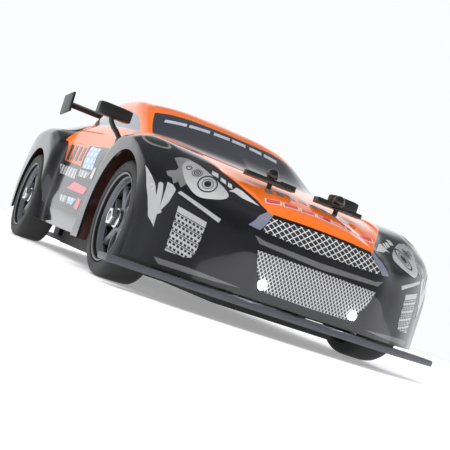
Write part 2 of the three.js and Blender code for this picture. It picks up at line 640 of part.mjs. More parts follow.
function makeDriveLines() {
  const rear = group(0, REAR_Y, AXLE_Z);
  const reach = WHEEL_X + AXLE_END;
  add(rear, "rear_axle", rod("x", AXLE_R, -reach, reach), FINISH.steel);
  add(rear, "rear_ring_gear", ringGear(RING_GEAR_X), FINISH.steel);
  // The front ring gear is on the other side of the shaft, so that both axles turn the same way.
  const front = group(0, FRONT_Y, AXLE_Z);
  const spool = rod("x", AXLE_R, -GEARBOX_HALF_WIDTH + 4, GEARBOX_HALF_WIDTH - 4);
  const x = -RING_GEAR_X - RING_GEAR_WIDTH;
  const hub = rod("x", AXLE_R + 1, x, x + RING_GEAR_WIDTH);
  add(front, "front_differential", join(ringGear(x), hub, spool), FINISH.steel);
  pair((side, g) => {
    const at = group(0, FRONT_Y, AXLE_Z, g);
    const bone = rod("x", 1.5, GEARBOX_HALF_WIDTH - 3.6, KINGPIN_HALF_SPAN - DOGBONE_GAP, [0, 0], 12);
    const pin = rod("z", 0.9, -3, 3, [GEARBOX_HALF_WIDTH + 2, 0], 8);
    add(at, `front_dogbone_${side}`, join(bone, pin), FINISH.steel);
  });
}

// ---- front and rear suspension ----
function makeFrontArms() {
  pair((side, g) => {
    const [x0, x1] = [GEARBOX_HALF_WIDTH + 0.5, KINGPIN_HALF_SPAN + 4];
    const outline = [
      [x0, FRONT_Y - 13], [x1 - 8, FRONT_Y - 5], [x1, FRONT_Y - 3], [x1, FRONT_Y + 3],
      [x1 - 8, FRONT_Y + 5], [x0, FRONT_Y + 13],
    ];
    const arm = plate(outline, TUB_TOP + 3, TUB_TOP + 6);
    const opening = plate(
      [[x0 + 6, FRONT_Y - 7], [x1 - 14, FRONT_Y - 2], [x1 - 14, FRONT_Y + 2], [x0 + 6, FRONT_Y + 7]],
      TUB_TOP, TUB_TOP + 10,
    );
    const hole = kingpinHole();
    add(g, `front_lower_arm_${side}`, cut(arm, opening, hole), FINISH.nylon);
  });
  const z0 = AXLE_Z + GEARBOX_TOP + GAP;
  const half = KINGPIN_HALF_SPAN + 4;
  const bar = box(-half, half, FRONT_Y - 3.6, FRONT_Y + 3.6, z0, z0 + BRACE_THICKNESS);
  const seat = box(-15, 15, FRONT_Y - 9, FRONT_Y + 9, z0, z0 + BRACE_THICKNESS);
  const holes = [1, -1].map((side) =>
    rod("z", KINGPIN_DIAMETER / 2 + GAP, z0 - 5, z0 + 9, [side * KINGPIN_HALF_SPAN, FRONT_Y], 16),
  );
  add(car, "front_upper_brace", cut(join(bar, seat), ...holes), FINISH.nylon);
}

const kingpinHole = () =>
  rod("z", KINGPIN_DIAMETER / 2 + GAP, 0, TUB_TOP + 12, [KINGPIN_HALF_SPAN, FRONT_Y], 16);

function makeKnuckles() {
  pair((side, g) => {
    const at = group(KINGPIN_HALF_SPAN, FRONT_Y, AXLE_Z, g);
    const r = KINGPIN_DIAMETER / 2;
    const ring = rod("x", 6.5, -3.4, 3.4, [0, 0], 20);
    const top = GEARBOX_TOP + GAP + BRACE_THICKNESS;
    const armTop = TUB_TOP + 6 - AXLE_Z;
    const pins = [rod("z", r, 5, top), rod("z", r, armTop - 3.4, -5)];
    const sleeves = [rod("z", r + 1.2, 5, GEARBOX_TOP - 0.4), rod("z", r + 1.2, armTop + 0.6, -5)];
    const arm = box(-2.2, 1.8, 4, STEERING_ARM + 2.5, 2.5, 5);
    const bore = rod("x", AXLE_R + RUNNING_GAP, -9, 9);
    const knuckle = cut(join(ring, ...pins, ...sleeves, arm), bore);
    add(at, `steering_knuckle_${side}`, knuckle, FINISH.nylon);
  });
}

function makeRearUprights() {
  pair((side, g) => {
    const outer = REAR_TUB_HALF_WIDTH - 1;
    const inner = outer - UPRIGHT_WIDTH;
    const block = box(inner, outer, REAR_Y - 6, REAR_Y + 6, TUB_TOP + GAP, AXLE_Z + 7);
    const bore = rod("x", AXLE_R + RUNNING_GAP, inner - 3, outer + 3, [REAR_Y, AXLE_Z]);
    add(g, `rear_upright_${side}`, cut(block, bore), FINISH.nylon);
  });
}

// ---- steering ----
const HORN = { x: 21, z: AXLE_Z - 5 };

function makeSteering() {
  const y = FRONT_Y + STEERING_ARM;
  const z = AXLE_Z + 5.5;
  const bar = box(-KINGPIN_HALF_SPAN + 1, KINGPIN_HALF_SPAN - 1, y - 2, y + 2, z, z + 2.4);
  const lug = box(HORN.x - 3, HORN.x + 3, y + 1, y + 2.4, z - 3, z + 2.4);
  add(car, "steering_link", join(bar, lug), FINISH.nylon);
  const servoY = y + 11;
  const body = box(HORN.x - 11, HORN.x + 11, servoY, servoY + 13, TUB_TOP + GAP, AXLE_Z + 1);
  const boss = rod("y", 3, servoY - 2, servoY + 1, [HORN.x, HORN.z]);
  add(car, "steering_servo", join(body, boss), FINISH.servo);
  const at = group(HORN.x, servoY - 2 - GAP, HORN.z);
  const disc = rod("y", 3.4, -3, 0);
  const arm = box(-1.6, 1.6, -3, -0.8, 0, SERVO_HORN);
  add(at, "servo_horn", join(disc, arm), FINISH.nylon);
}

// ---- wheels ----
const AXLE_END = 7; // from the wheel's middle outwards

function tyreSolid() {
  const r = TYRE_DIAMETER / 2;
  const w = TYRE_WIDTH / 2;
  const bead = RIM_DIAMETER / 2 + GAP;
  const half = [[bead, w - 0.8], [bead + 0.9, w], [r - 2.6, w], [r - 0.9, w - 0.8], [r, w - 3.4]];
  const other = half.map(([radius, a]) => [radius, -a]).reverse();
  return turned("x", [...half, ...other], 24);
}

function rimSolid() {
  const r = RIM_DIAMETER / 2;
  const w = TYRE_WIDTH / 2;
  const barrel = turned(
    "x",
    [[r, -w + 0.8], [r, w - 0.3], [r - 1.4, w - 0.3], [r - 1.8, w - 3], [r - 3.6, w - 3.6],
      [r - 2, 0.6], [r - 2, -w + 0.8]],
    20,
  );
  const hub = rod("x", 6, -3, 4.6, [0, 0], 12);
  const spokes = [];
  for (let i = 0; i < 5; i++) {
    for (const turn of [-0.17, 0.17]) {
      const bar = new THREE.BoxGeometry(2.6, 2.4, r - 7).translate(2.6, 0, (r - 7) / 2 + 4);
      spokes.push(toSolid(bar.rotateX((i / 5) * 2 * Math.PI + turn)));
    }
  }
  const bore = rod("x", AXLE_R + GAP, -9, 9);
  return cut(join(barrel, hub, ...spokes), bore);
}

function nutSolid() {
  const hex = rod("x", 4, 5, 9.2, [0, 0], 6);
  const flange = rod("x", 4.4, 5, 6, [0, 0], 12);
  const bore = rod("x", AXLE_R + GAP, 4, AXLE_END + 0.4);
  return cut(join(hex, flange), bore);
}

function makeWheels() {
  const pieces = [
    ["tyre", tyreSolid(), FINISH.rubber],
    ["rim", rimSolid(), FINISH.gunmetal],
    ["wheel_nut", nutSolid(), FINISH.chrome],
  ];
  for (const [end, y] of [["front", FRONT_Y], ["rear", REAR_Y]]) {
    pair((side, g) => {
      const at = group(WHEEL_X, y, AXLE_Z, g);
      for (const [name, solid, material] of pieces) add(at, `${end}_${name}_${side}`, solid, material);
      if (end === "front") {
        const inner = KINGPIN_HALF_SPAN - 4 - WHEEL_X;
        add(at, `front_axle_${side}`, rod("x", AXLE_R, inner, AXLE_END), FINISH.steel);
      }
    });
  }
}

// ---- splitter and body posts ----
function makeSplitter() {
  const outline = [
    [0, -147.5], [28, -146.6], [52, -141.5], [70, -134], [SPLITTER_HALF_WIDTH, -129.6],
    [SPLITTER_HALF_WIDTH, -117], [60, -121], [28, -121], [0, -121],
  ].map(([x, y]) => [x, stretchY(y)]);
  const mirrored = outline.slice(1, -1).map(([x, y]) => [-x, y]).reverse();
  const z0 = TUB_TOP + 0.4;
  add(car, "front_splitter", plate([...outline, ...mirrored], z0, z0 + SPLITTER_THICKNESS), FINISH.black);
}

function postPair(post, crossZ) {
  const [x, y] = [post.x, stretchY(post.y)];
  const r = POST_DIAMETER / 2;
  const under = Math.min(bodyTop(x, y - r), bodyTop(x, y + r)) - SHELL_WALL - 1;
  const solids = [box(-x, x, y - 1.5, y + 1.5, crossZ, crossZ + 4)];
  for (const side of [-1, 1]) {
    const centre = [side * x, y];
    solids.push(rod("z", r, TUB_TOP + GAP, under, centre, 12));
    solids.push(rod("z", POST_TIP_DIAMETER / 2, under - 1, clipSeat(post) + POST_TIP, centre, 12));
  }
  return join(...solids);
}

makeTub();
makeBatteryAndBoard();
makeMotor();
makeCentreShaft();
makeGearbox("front", FRONT_Y);
makeGearbox("rear", REAR_Y);
makeDriveLines();
makeFrontArms();
makeKnuckles();
makeRearUprights();
makeSteering();
makeWheels();
makeSplitter();
add(car, "front_body_posts", postPair(CLIP_POST, 20), FINISH.nylon);
add(car, "rear_body_posts", postPair(REAR_POST, 24), FINISH.nylon);
makeBodyShell();
makeHeadlightLeds();
makeMirrors();
makeWing();
makeBodyClips();

export default car;
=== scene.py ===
import json
import math

import bmesh
import bpy
import numpy as np
from mathutils import Matrix, Vector
from mathutils.bvhtree import BVHTree


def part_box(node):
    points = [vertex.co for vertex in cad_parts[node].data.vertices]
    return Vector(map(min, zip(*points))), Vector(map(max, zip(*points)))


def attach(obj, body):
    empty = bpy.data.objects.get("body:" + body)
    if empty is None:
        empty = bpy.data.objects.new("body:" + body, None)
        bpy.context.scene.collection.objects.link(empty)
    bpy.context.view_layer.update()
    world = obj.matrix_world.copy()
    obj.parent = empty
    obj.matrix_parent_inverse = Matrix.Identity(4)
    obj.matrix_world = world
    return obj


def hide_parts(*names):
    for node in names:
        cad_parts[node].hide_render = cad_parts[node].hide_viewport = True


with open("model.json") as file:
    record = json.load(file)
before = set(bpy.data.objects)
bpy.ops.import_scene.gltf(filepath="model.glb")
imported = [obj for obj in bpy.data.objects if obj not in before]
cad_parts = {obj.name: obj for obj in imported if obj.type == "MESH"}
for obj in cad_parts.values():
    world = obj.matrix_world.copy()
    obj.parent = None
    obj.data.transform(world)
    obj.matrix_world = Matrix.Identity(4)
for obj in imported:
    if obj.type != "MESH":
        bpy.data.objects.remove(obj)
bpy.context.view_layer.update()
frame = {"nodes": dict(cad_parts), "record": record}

# ---- Camera ----
# A low view on the nose and the car's right side, with the camera rolled so that the car climbs.
camera_place = Vector((-0.1838, -0.4529, 0.0177))
camera_azimuth, camera_elevation, camera_roll = (math.radians(a) for a in (-24.17, -3.07, 18.78))
forward = -Vector((
    math.sin(camera_azimuth) * math.cos(camera_elevation),
    -math.cos(camera_azimuth) * math.cos(camera_elevation),
    math.sin(camera_elevation),
))
level_right = forward.cross(Vector((0, 0, 1))).normalized()
level_up = level_right.cross(forward)
camera_right = math.cos(camera_roll) * level_right + math.sin(camera_roll) * level_up
camera_up = math.cos(camera_roll) * level_up - math.sin(camera_roll) * level_right
camera_data = bpy.data.cameras.new("camera")
camera_data.lens = 71.19
camera_data.sensor_width = 36
camera_data.clip_start = 0.01
camera_data.clip_end = 30
camera = bpy.data.objects.new("camera", camera_data)
bpy.context.scene.collection.objects.link(camera)
turn = Matrix((camera_right, camera_up, -forward)).transposed()
camera.matrix_world = Matrix.Translation(camera_place) @ turn.to_4x4()
bpy.context.scene.camera = camera

# ---- Studio ----
# A pale floor, surroundings that are white low down behind the car and dark overhead and behind
# the viewer, and three large soft lamps.


def new_material(name, **sockets):
    """A material whose shader has these values set on its own sockets."""
    material = bpy.data.materials.new(name)
    material.use_nodes = True
    shader = material.node_tree.nodes["Principled BSDF"]
    for socket, value in sockets.items():
        shader.inputs[socket.replace("_", " ")].default_value = value
    return material


def add_node(material, kind, *inputs, **settings):
    """A shader node with its inputs given in order, as values or as other nodes' outputs."""
    node = material.node_tree.nodes.new(kind)
    for setting, value in settings.items():
        setattr(node, setting, value)
    for socket, value in zip(node.inputs, inputs):
        if isinstance(value, bpy.types.NodeSocket):
            material.node_tree.links.new(value, socket)
        elif value is not None:
            socket.default_value = value
    return node


def to_shader(material, socket, output):
    """Wires an output to the shader's own socket."""
    shader = material.node_tree.nodes["Principled BSDF"]
    material.node_tree.links.new(output, shader.inputs[socket])


def calc(material, operation, *inputs):
    return add_node(material, "ShaderNodeMath", *inputs, operation=operation).outputs[0]


def mix(material, share, first, second):
    """One colour changing into another as share goes from 0 to 1."""
    node = add_node(material, "ShaderNodeMix", data_type="RGBA")
    links = material.node_tree.links
    for socket, value in ((node.inputs[0], share), (node.inputs[6], first), (node.inputs[7], second)):
        if isinstance(value, bpy.types.NodeSocket):
            links.new(value, socket)
        else:
            socket.default_value = value
    return node.outputs[2]


def noise(material, size, detail=2.0):
    """A value from 0 to 1 that wanders over about size metres, in the object's own coordinates."""
    place = add_node(material, "ShaderNodeTexCoord").outputs["Object"]
    return add_node(material, "ShaderNodeTexNoise", place, None, 1 / size, detail).outputs["Fac"]


def spread(material, value, low, high):
    """Turns a value from 0 to 1 into one from low to high."""
    return add_node(material, "ShaderNodeMapRange", value, 0, 1, low, high).outputs[0]


def add_bump(material, height, strength, distance):
    """Lets a height from 0 to 1 disturb the surface by up to distance metres."""
    bump = add_node(material, "ShaderNodeBump", strength, distance)
    material.node_tree.links.new(height, bump.inputs["Height"])
    to_shader(material, "Normal", bump.outputs[0])


def grey(value):
    return (value, value, value * 1.02, 1)


floor_material = new_material(
    "studio_floor", Roughness=0.6, Emission_Color=(1, 1, 1, 1), Emission_Strength=0.3)
to_shader(floor_material, "Base Color", mix(
    floor_material, noise(floor_material, 0.4), grey(0.86), grey(0.9)))
bpy.ops.object.select_all(action="DESELECT")
bpy.ops.mesh.primitive_circle_add(radius=1.4, vertices=128, fill_type="NGON", location=(0, 0, 0))
floor = bpy.context.object
floor.name = "studio_floor"
floor.data.materials.append(floor_material)

bpy.context.scene.view_settings.view_transform = "Standard"
world = bpy.data.worlds.new("studio")
bpy.context.scene.world = world
world.use_nodes = True
background = world.node_tree.nodes["Background"]
direction = add_node(world, "ShaderNodeTexCoord").outputs["Generated"]
parts = add_node(world, "ShaderNodeSeparateXYZ", direction)
behind_viewer = add_node(world, "ShaderNodeMapRange", parts.outputs["Y"], -0.8, 0.25, 0.2, 1.0)
overhead = add_node(world, "ShaderNodeMapRange", parts.outputs["Z"], 0.36, 0.58, 1.0, 0.14)
world_strength = calc(world, "MULTIPLY", behind_viewer.outputs[0], overhead.outputs[0])
world.node_tree.links.new(world_strength, background.inputs["Strength"])
background.inputs["Color"].default_value = (0.97, 0.98, 1.0, 1)


def area_lamp(name, place, aim, size, watts):
    data = bpy.data.lights.new(name, "AREA")
    data.shape = "RECTANGLE"
    data.size, data.size_y = size
    data.energy = watts
    lamp = bpy.data.objects.new(name, data)
    bpy.context.scene.collection.objects.link(lamp)
    lamp.location = place
    lamp.rotation_euler = (Vector(aim) - Vector(place)).to_track_quat("-Z", "Y").to_euler()
    lamp.visible_glossy = False


area_lamp("key_lamp", (-0.9, -0.5, 1.3), (0, 0, 0.05), (1.2, 0.9), 18)
area_lamp("top_lamp", (0.1, 0.3, 1.5), (0, 0, 0.05), (1.6, 1.6), 17)
area_lamp("fill_lamp", (1.1, -0.7, 0.7), (0, 0, 0.05), (0.8, 0.8), 6)

# ---- Body shell ----
# One thin skin of clear plastic, formed over a mould, painted in orange and black and cut out
# over the wheels. It lifts off the chassis in one piece.
MM = 0.001
SHELL_WALL = 1.2 * MM
LAST_STATION = 26
# Ten body lines run round half the car, each as (station, x, y, z) in millimetres, from the nose
# (station 0) to the tail (station 26). The other half is their mirror image.
BODY_LINES = {
    "sill": [
        (0, 0, -144.5, 12.5), (2, 28, -143.6, 12.5), (4, 52, -136.5, 12.5), (5, 68, -125.5, 12.5),
        (6, 74.5, -117, 12.5), (8, 75, -90, 12.5), (11, 75, -57, 12.5), (12, 75, -47, 12.5),
        (13, 66.5, -41, 12.5), (14, 65.5, -20, 13), (16, 65.5, 25, 13.5), (17, 66, 53, 14),
        (18, 72, 58, 14.5), (20, 73, 90, 15), (22, 72.5, 123, 16), (23, 68, 134, 17), (24, 50, 140, 18),
        (26, 0, 143, 18),
    ],
    "waist": [
        (0, 0, -146, 31), (2, 28, -145, 31), (3, 40, -141.5, 31), (4, 53, -135.5, 31),
        (5, 67.5, -125, 32), (6, 75, -116.5, 33), (8, 75.4, -90, 38), (11, 75.2, -57, 28),
        (12, 75, -49.3, 20), (13, 66.3, -45, 20), (14, 66.2, -20, 22), (16, 66.4, 25, 23),
        (17, 66.8, 54, 24), (18, 73, 60, 26), (20, 73.6, 90, 40), (22, 73, 124, 34),
        (23, 69, 135.5, 34), (24, 51, 144, 36), (26, 0, 147.5, 38),
    ],
    "flare": [
        (0, 0, -144, 42), (2, 29, -142.8, 41), (3, 39, -139, 41.5), (4, 52, -133.5, 43),
        (5, 66, -123.5, 46), (6, 73.5, -113.5, 50.5), (7, 75.2, -101, 56.5), (8, 75.6, -90, 59.5),
        (9, 75.6, -79, 60), (10, 75.4, -68, 56.5), (11, 75.2, -57, 46), (12, 75, -50, 27),
        (13, 66.6, -47, 26), (14, 66.6, -20, 36), (16, 66.9, 25, 37), (17, 67.3, 53, 38),
        (18, 73.3, 59.5, 50), (19, 73.8, 75, 62), (20, 73.8, 90, 63.5), (21, 73.6, 105, 62),
        (22, 72.5, 120, 58), (23, 69, 135.5, 55), (24, 51, 144, 57), (26, 0, 147, 58),
    ],
    "inset": [
        (0, 0, -143, 44.2), (2, 28.5, -141.3, 43), (3, 38, -137, 44), (4, 50, -130.5, 46.5),
        (5, 61.5, -120.5, 51.5), (6, 68.5, -111, 56), (7, 72, -101, 59.8), (8, 73, -90, 62.3),
        (9, 72.5, -79, 62.8), (10, 71, -68, 60), (11, 67.5, -57.5, 50.5), (12, 66.3, -51, 34),
        (13, 66.5, -46, 34), (14, 65.6, -20, 50), (16, 65.8, 25, 52), (17, 66.6, 53, 54),
        (18, 71, 59, 60), (19, 71.5, 75, 67), (20, 71.8, 90, 68), (21, 71.4, 105, 67),
        (22, 70, 120, 65), (23, 65.5, 134.5, 64), (24, 49, 142, 66), (26, 0, 145, 68),
    ],
    "belt": [
        (0, 0, -141.5, 46.3), (1, 14, -141, 46), (2, 28, -139.3, 44.8), (3, 37, -134, 46.5),
        (4, 46, -127, 50), (5, 54, -118, 55.5), (6, 59, -108, 60.5), (7, 61.5, -99, 63.3),
        (8, 62.8, -90, 64.8), (9, 63, -79, 65.4), (10, 62.8, -68, 65.2), (11, 61.8, -57, 64.6),
        (12, 60.8, -49, 64), (13, 60.5, -44, 63.6), (14, 60.5, -20, 63.3), (15, 60.8, 0, 64),
        (16, 61.2, 25, 65.5), (17, 62, 52, 68.5), (18, 62.4, 58, 69.3), (19, 63.2, 75, 71),
        (20, 63.5, 90, 71.3), (21, 63.2, 105, 71), (22, 62, 119, 70.2), (23, 57, 133, 70),
        (24, 40, 139, 72), (25, 20, 141, 74), (26, 0, 142, 75),
    ],
    "shoulder": [
        (0, 0, -138.5, 50), (1, 14, -138, 49.6), (2, 26, -137, 47.8), (3, 30, -131.5, 50.5),
        (4, 35, -124.5, 53.8), (5, 39.5, -117, 57), (6, 43, -109, 60.2), (7, 44.5, -99, 63),
        (8, 46, -89, 64.8), (9, 47, -78, 66.3), (10, 48.2, -67, 67.8), (11, 49.5, -56, 69.4),
        (12, 50.3, -47, 70.6), (13, 51, -41, 71.4), (14, 54.5, -20, 72), (15, 54.8, 0, 73.5),
        (16, 54.3, 25, 75), (17, 54, 52, 76), (19, 54.5, 75, 76.3), (20, 55, 90, 76),
        (21, 54.5, 105, 75.5), (22, 53, 119, 75), (23, 48, 130, 75.3), (24, 36, 134, 76.5),
        (25, 20, 136, 78.5), (26, 0, 137, 79.5),
    ],
    "bonnet": [
        (0, 0, -100, 63), (3, 28, -95, 63.7), (6, 42.5, -75, 67), (9, 47.3, -58, 69.5),
        (11, 49.8, -46, 70.8), (13, 51.3, -34, 72), (14, 53.6, -16, 72.8), (15, 54, 2, 74.2),
        (16, 53.6, 25, 75.6), (18, 53.2, 60, 76.7), (20, 52.5, 89.5, 77), (22, 45, 111, 77.2),
        (24, 28, 120, 78.6), (26, 0, 122, 80.3),
    ],
    "glass_base": [
        (0, 0, -57.5, 69.4), (3, 26, -51.5, 70.4), (6, 41, -43.5, 71.9), (9, 47.5, -39, 72),
        (11, 49.8, -36, 72), (12, 50.6, -32.5, 72.2), (13, 51.2, -27, 72.7), (14, 52.5, -12, 73.5),
        (15, 53, 2, 74.6), (16, 52.8, 25, 76), (17, 52.3, 52, 77), (19, 51.8, 75, 77.2),
        (20, 49.5, 89, 77.7), (21, 44, 98, 78.5), (22, 37, 103, 79.3), (24, 20, 107, 80.5),
        (26, 0, 108, 81),
    ],
    "roof_edge": [
        (0, 0, 0, 94.4), (3, 21, -0.6, 94), (6, 33.5, -1, 92.8), (8, 39, 0, 92), (10, 41.8, 3, 91.8),
        (12, 43, 9, 92.5), (14, 43.8, 22, 94), (16, 43.5, 45, 94.6), (18, 42.5, 60, 93.8),
        (19, 41.3, 68, 92.5), (20, 38.8, 74.5, 91.4), (22, 29, 79, 91.8), (24, 16, 80.5, 92.6),
        (26, 0, 81, 93),
    ],
    "spine": [
        (0, 0, 14, 98), (12, 0, 28, 99.1), (16, 0, 42, 99.3), (20, 0, 56, 98.4), (26, 0, 66, 97),
    ],
}
LAST_ROW = len(BODY_LINES) - 1


def ease(places, values, where):
    """A smooth curve through values at places that never overshoots them."""
    places = np.asarray(places, float)
    rise = np.diff(values, axis=0) / np.diff(places)[:, None, None]
    slope = np.empty_like(values)
    slope[0], slope[-1] = rise[0], rise[-1]
    same_way = rise[:-1] * rise[1:] > 0
    total = np.where(same_way, rise[:-1] + rise[1:], 1)
    slope[1:-1] = np.where(same_way, 2 * rise[:-1] * rise[1:] / total, 0)
    i = np.clip(np.searchsorted(places, where) - 1, 0, len(places) - 2)
    n = np.arange(len(where))
    h = (places[i + 1] - places[i])[:, None]
    u = (where - places[i])[:, None] / h
    w = 1 - u
    start = values[i, n] * (1 + 2 * u) + slope[i, n] * h * u
    end = values[i + 1, n] * (3 - 2 * u) - slope[i + 1, n] * h * w
    return start * w * w + end * u * u


def body_surface(station, row):
    """Points on the outside of the shell, in metres. A station below 0 is on the right side."""
    count = len(station)
    lines = []
    for line in BODY_LINES.values():
        knots = np.array(line, float)
        values = np.repeat(knots[:, None, 1:], count, axis=1)
        lines.append(ease(knots[:, 0], values, np.abs(station)))
    points = ease(np.arange(len(lines)), np.array(lines), row) * MM
    points[:, 0] *= np.sign(station)
    return points


def mesh_object(name, points, faces):
    mesh = bpy.data.meshes.new(name)
    mesh.from_pydata([tuple(p) for p in points], [], faces)
    made = bpy.data.objects.new(name, mesh)
    bpy.context.scene.collection.objects.link(made)
    return made


def grid_faces(columns, rows):
    """Quads between rows of points, each row holding this many columns."""
    corners = [(r * columns + c, r * columns + c + 1) for r in range(rows - 1) for c in range(columns - 1)]
    return [(a, b, b + columns, a + columns) for a, b in corners]


def apply_modifiers(made):
    bpy.ops.object.select_all(action="DESELECT")
    made.select_set(True)
    bpy.context.view_layer.objects.active = made
    for modifier in list(made.modifiers):
        bpy.ops.object.modifier_apply(modifier=modifier.name)


def settle(made, weld=0.00001):
    """Welds points that lie on each other and turns every face outwards."""
    body = bmesh.new()
    body.from_mesh(made.data)
    bmesh.ops.remove_doubles(body, verts=body.verts, dist=weld)
    bmesh.ops.recalc_face_normals(body, faces=body.faces)
    body.to_mesh(made.data)
    body.free()


def smooth_by_angle(made, degrees=30):
    bpy.ops.object.select_all(action="DESELECT")
    made.select_set(True)
    bpy.context.view_layer.objects.active = made
    bpy.ops.object.shade_smooth_by_angle(angle=math.radians(degrees))


def cut_with(made, *cutters):
    """Cuts the shapes of other meshes out of one, and removes them."""
    for cutter in cutters:
        modifier = made.modifiers.new("cut", "BOOLEAN")
        modifier.operation = "DIFFERENCE"
        modifier.solver = "EXACT"
        modifier.object = cutter
    apply_modifiers(made)
    for cutter in cutters:
        bpy.data.objects.remove(cutter)


def add_primitive(kind, name, location, scale=(1, 1, 1), rotation=(0, 0, 0), **settings):
    """Adds a primitive by its operator, with its place and size put into its mesh."""
    bpy.ops.object.select_all(action="DESELECT")
    operator = getattr(bpy.ops.mesh, f"primitive_{kind}_add")
    operator(location=location, rotation=rotation, scale=scale, **settings)
    made = bpy.context.object
    made.name = name
    made.data.name = name
    bpy.ops.object.transform_apply(location=True, rotation=True, scale=True)
    return made


PER_STATION, PER_ROW = 8, 8
stations = np.linspace(-LAST_STATION, LAST_STATION, 2 * LAST_STATION * PER_STATION + 1)
rows = np.linspace(0, LAST_ROW, LAST_ROW * PER_ROW + 1)
station_grid, row_grid = (g.ravel() for g in np.meshgrid(stations, rows))
body_shell = mesh_object(
    "body_skin", body_surface(station_grid, row_grid), grid_faces(len(stations), len(rows))
)
uv_layer = body_shell.data.uv_layers.new(name="body_lines")
for loop in body_shell.data.loops:
    v = loop.vertex_index
    uv_layer.data[loop.index].uv = (
        (station_grid[v] + LAST_STATION) / (2 * LAST_STATION), row_grid[v] / LAST_ROW,
    )
settle(body_shell)

FRONT_AXLE_Y = sum(c.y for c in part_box("front_axle_left")) / 2
REAR_AXLE_Y = sum(c.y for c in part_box("rear_axle")) / 2
AXLE_Z = sum(c.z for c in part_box("rear_axle")) / 2
ARCH_RADIUS = 31 * MM
ARCH_Z = AXLE_Z - 2 * MM
ARCH_INNER_X = 50 * MM
arch_centres = {"front": FRONT_AXLE_Y + 0.5 * MM, "rear": REAR_AXLE_Y - 2 * MM}


def arch_cutter(end, side):
    """A round-topped tool that opens the shell over one wheel."""
    y = arch_centres[end]
    width = 60 * MM
    x = side * (ARCH_INNER_X + width / 2)
    tool = add_primitive(
        "cylinder", f"arch_{end}_{side}", (x, y, ARCH_Z), rotation=(0, math.pi / 2, 0),
        vertices=128, radius=ARCH_RADIUS, depth=width,
    )
    foot = add_primitive(
        "cube", "arch_foot", (x, y, ARCH_Z / 2 - 5 * MM), size=1,
        scale=(width, 2 * ARCH_RADIUS * 0.9995, ARCH_Z + 10 * MM),
    )
    union = tool.modifiers.new("foot", "BOOLEAN")
    union.operation = "UNION"
    union.object = foot
    apply_modifiers(tool)
    bpy.data.objects.remove(foot)
    return tool


wall = body_shell.modifiers.new("wall", "SOLIDIFY")
wall.thickness = SHELL_WALL
wall.offset = -1
wall.use_even_offset = False
wall.material_offset = 1
wall.material_offset_rim = 1

shell_paint = new_material(
    "shell_paint", Roughness=0.12, Specular_IOR_Level=0.3, Coat_Weight=0.85, Coat_Roughness=0.03)
lines_uv = add_node(shell_paint, "ShaderNodeUVMap", uv_map="body_lines").outputs[0]
uv_parts = add_node(shell_paint, "ShaderNodeSeparateXYZ", lines_uv)
# How far round the car, from 0 at the nose to 1 at the tail, and how high, from 0 to the last row.
round_car = calc(shell_paint, "ABSOLUTE", calc(
    shell_paint, "MULTIPLY_ADD", uv_parts.outputs["X"], 2.0, -1.0))
height_row = calc(shell_paint, "MULTIPLY", uv_parts.outputs["Y"], float(LAST_ROW))


def border(material, points):
    """A height in rows that follows straight lines through (station, row) points."""
    node = add_node(material, "ShaderNodeFloatCurve")
    material.node_tree.links.new(round_car, node.inputs["Value"])
    curve = node.mapping.curves[0]
    places = [(s / LAST_STATION, r / LAST_ROW) for s, r in points]
    curve.points[0].location = places[0]
    curve.points[1].location = places[-1]
    for place in places[1:-1]:
        curve.points.new(*place)
    for point in curve.points:
        point.handle_type = "VECTOR"
    node.mapping.update()
    return calc(material, "MULTIPLY", node.outputs[0], float(LAST_ROW))


def between(material, value, low, high):
    above = calc(material, "GREATER_THAN", value, low)
    below = calc(material, "LESS_THAN", value, high)
    return calc(material, "MULTIPLY", above, below)


orange_from = border(shell_paint, [
    (0, 4.3), (1.5, 4.35), (1.95, 4.65), (2.1, 4.95), (3, 5.0), (4.6, 5.05), (6.4, 4.7), (8, 4.52),
    (9.5, 4.5), (11, 4.6), (12.2, 4.7), (13, 4.2), (13.6, 3.72), (16.4, 3.6), (17.7, 3.36),
    (18.3, 4.6), (20, 5.0), (22, 5.0), (24, 4.5), (26, 4.3),
])
glass_low = border(shell_paint, [
    (0, 7.04), (10.3, 7.04), (10.7, 7.5), (12.6, 7.5), (13.3, 7.3), (13.7, 5.6), (14.2, 5.3),
    (17.0, 5.3), (17.8, 6.4), (18.5, 7.3), (19.3, 7.5), (20.2, 7.12), (26, 7.1),
])
glass_high = border(shell_paint, [
    (0, 7.76), (4, 7.74), (8.9, 7.7), (10.6, 7.05), (12.6, 7.0), (13.2, 7.3), (13.5, 7.5),
    (14.2, 7.58), (17.4, 7.56), (18.2, 7.48), (18.7, 7.25), (19.3, 7.0), (20.0, 7.1), (20.6, 7.7),
    (26, 7.8),
])
on_orange = calc(shell_paint, "GREATER_THAN", height_row, orange_from)
on_glass = between(shell_paint, height_row, glass_low, glass_high)
side_glass = calc(shell_paint, "MULTIPLY", on_glass, between(
    shell_paint, round_car, 12 / LAST_STATION, 19 / LAST_STATION))
drift = noise(shell_paint, 0.03)
orange = mix(shell_paint, drift, (0.92, 0.16, 0.012, 1), (0.96, 0.2, 0.02, 1))
black = mix(shell_paint, drift, (0.010, 0.010, 0.013, 1), (0.016, 0.016, 0.020, 1))
glass = mix(shell_paint, drift, (0.020, 0.022, 0.032, 1), (0.030, 0.032, 0.044, 1))
window = mix(shell_paint, drift, (0.16, 0.20, 0.24, 1), (0.22, 0.26, 0.30, 1))
colour = mix(shell_paint, on_orange, black, orange)
colour = mix(shell_paint, on_glass, colour, glass)
colour = mix(shell_paint, side_glass, colour, window)
to_shader(shell_paint, "Base Color", colour)
to_shader(shell_paint, "Roughness", spread(shell_paint, noise(shell_paint, 0.008, 4.0), 0.09, 0.16))
add_bump(shell_paint, noise(shell_paint, 0.03, 1.0), 0.04, 0.0002)

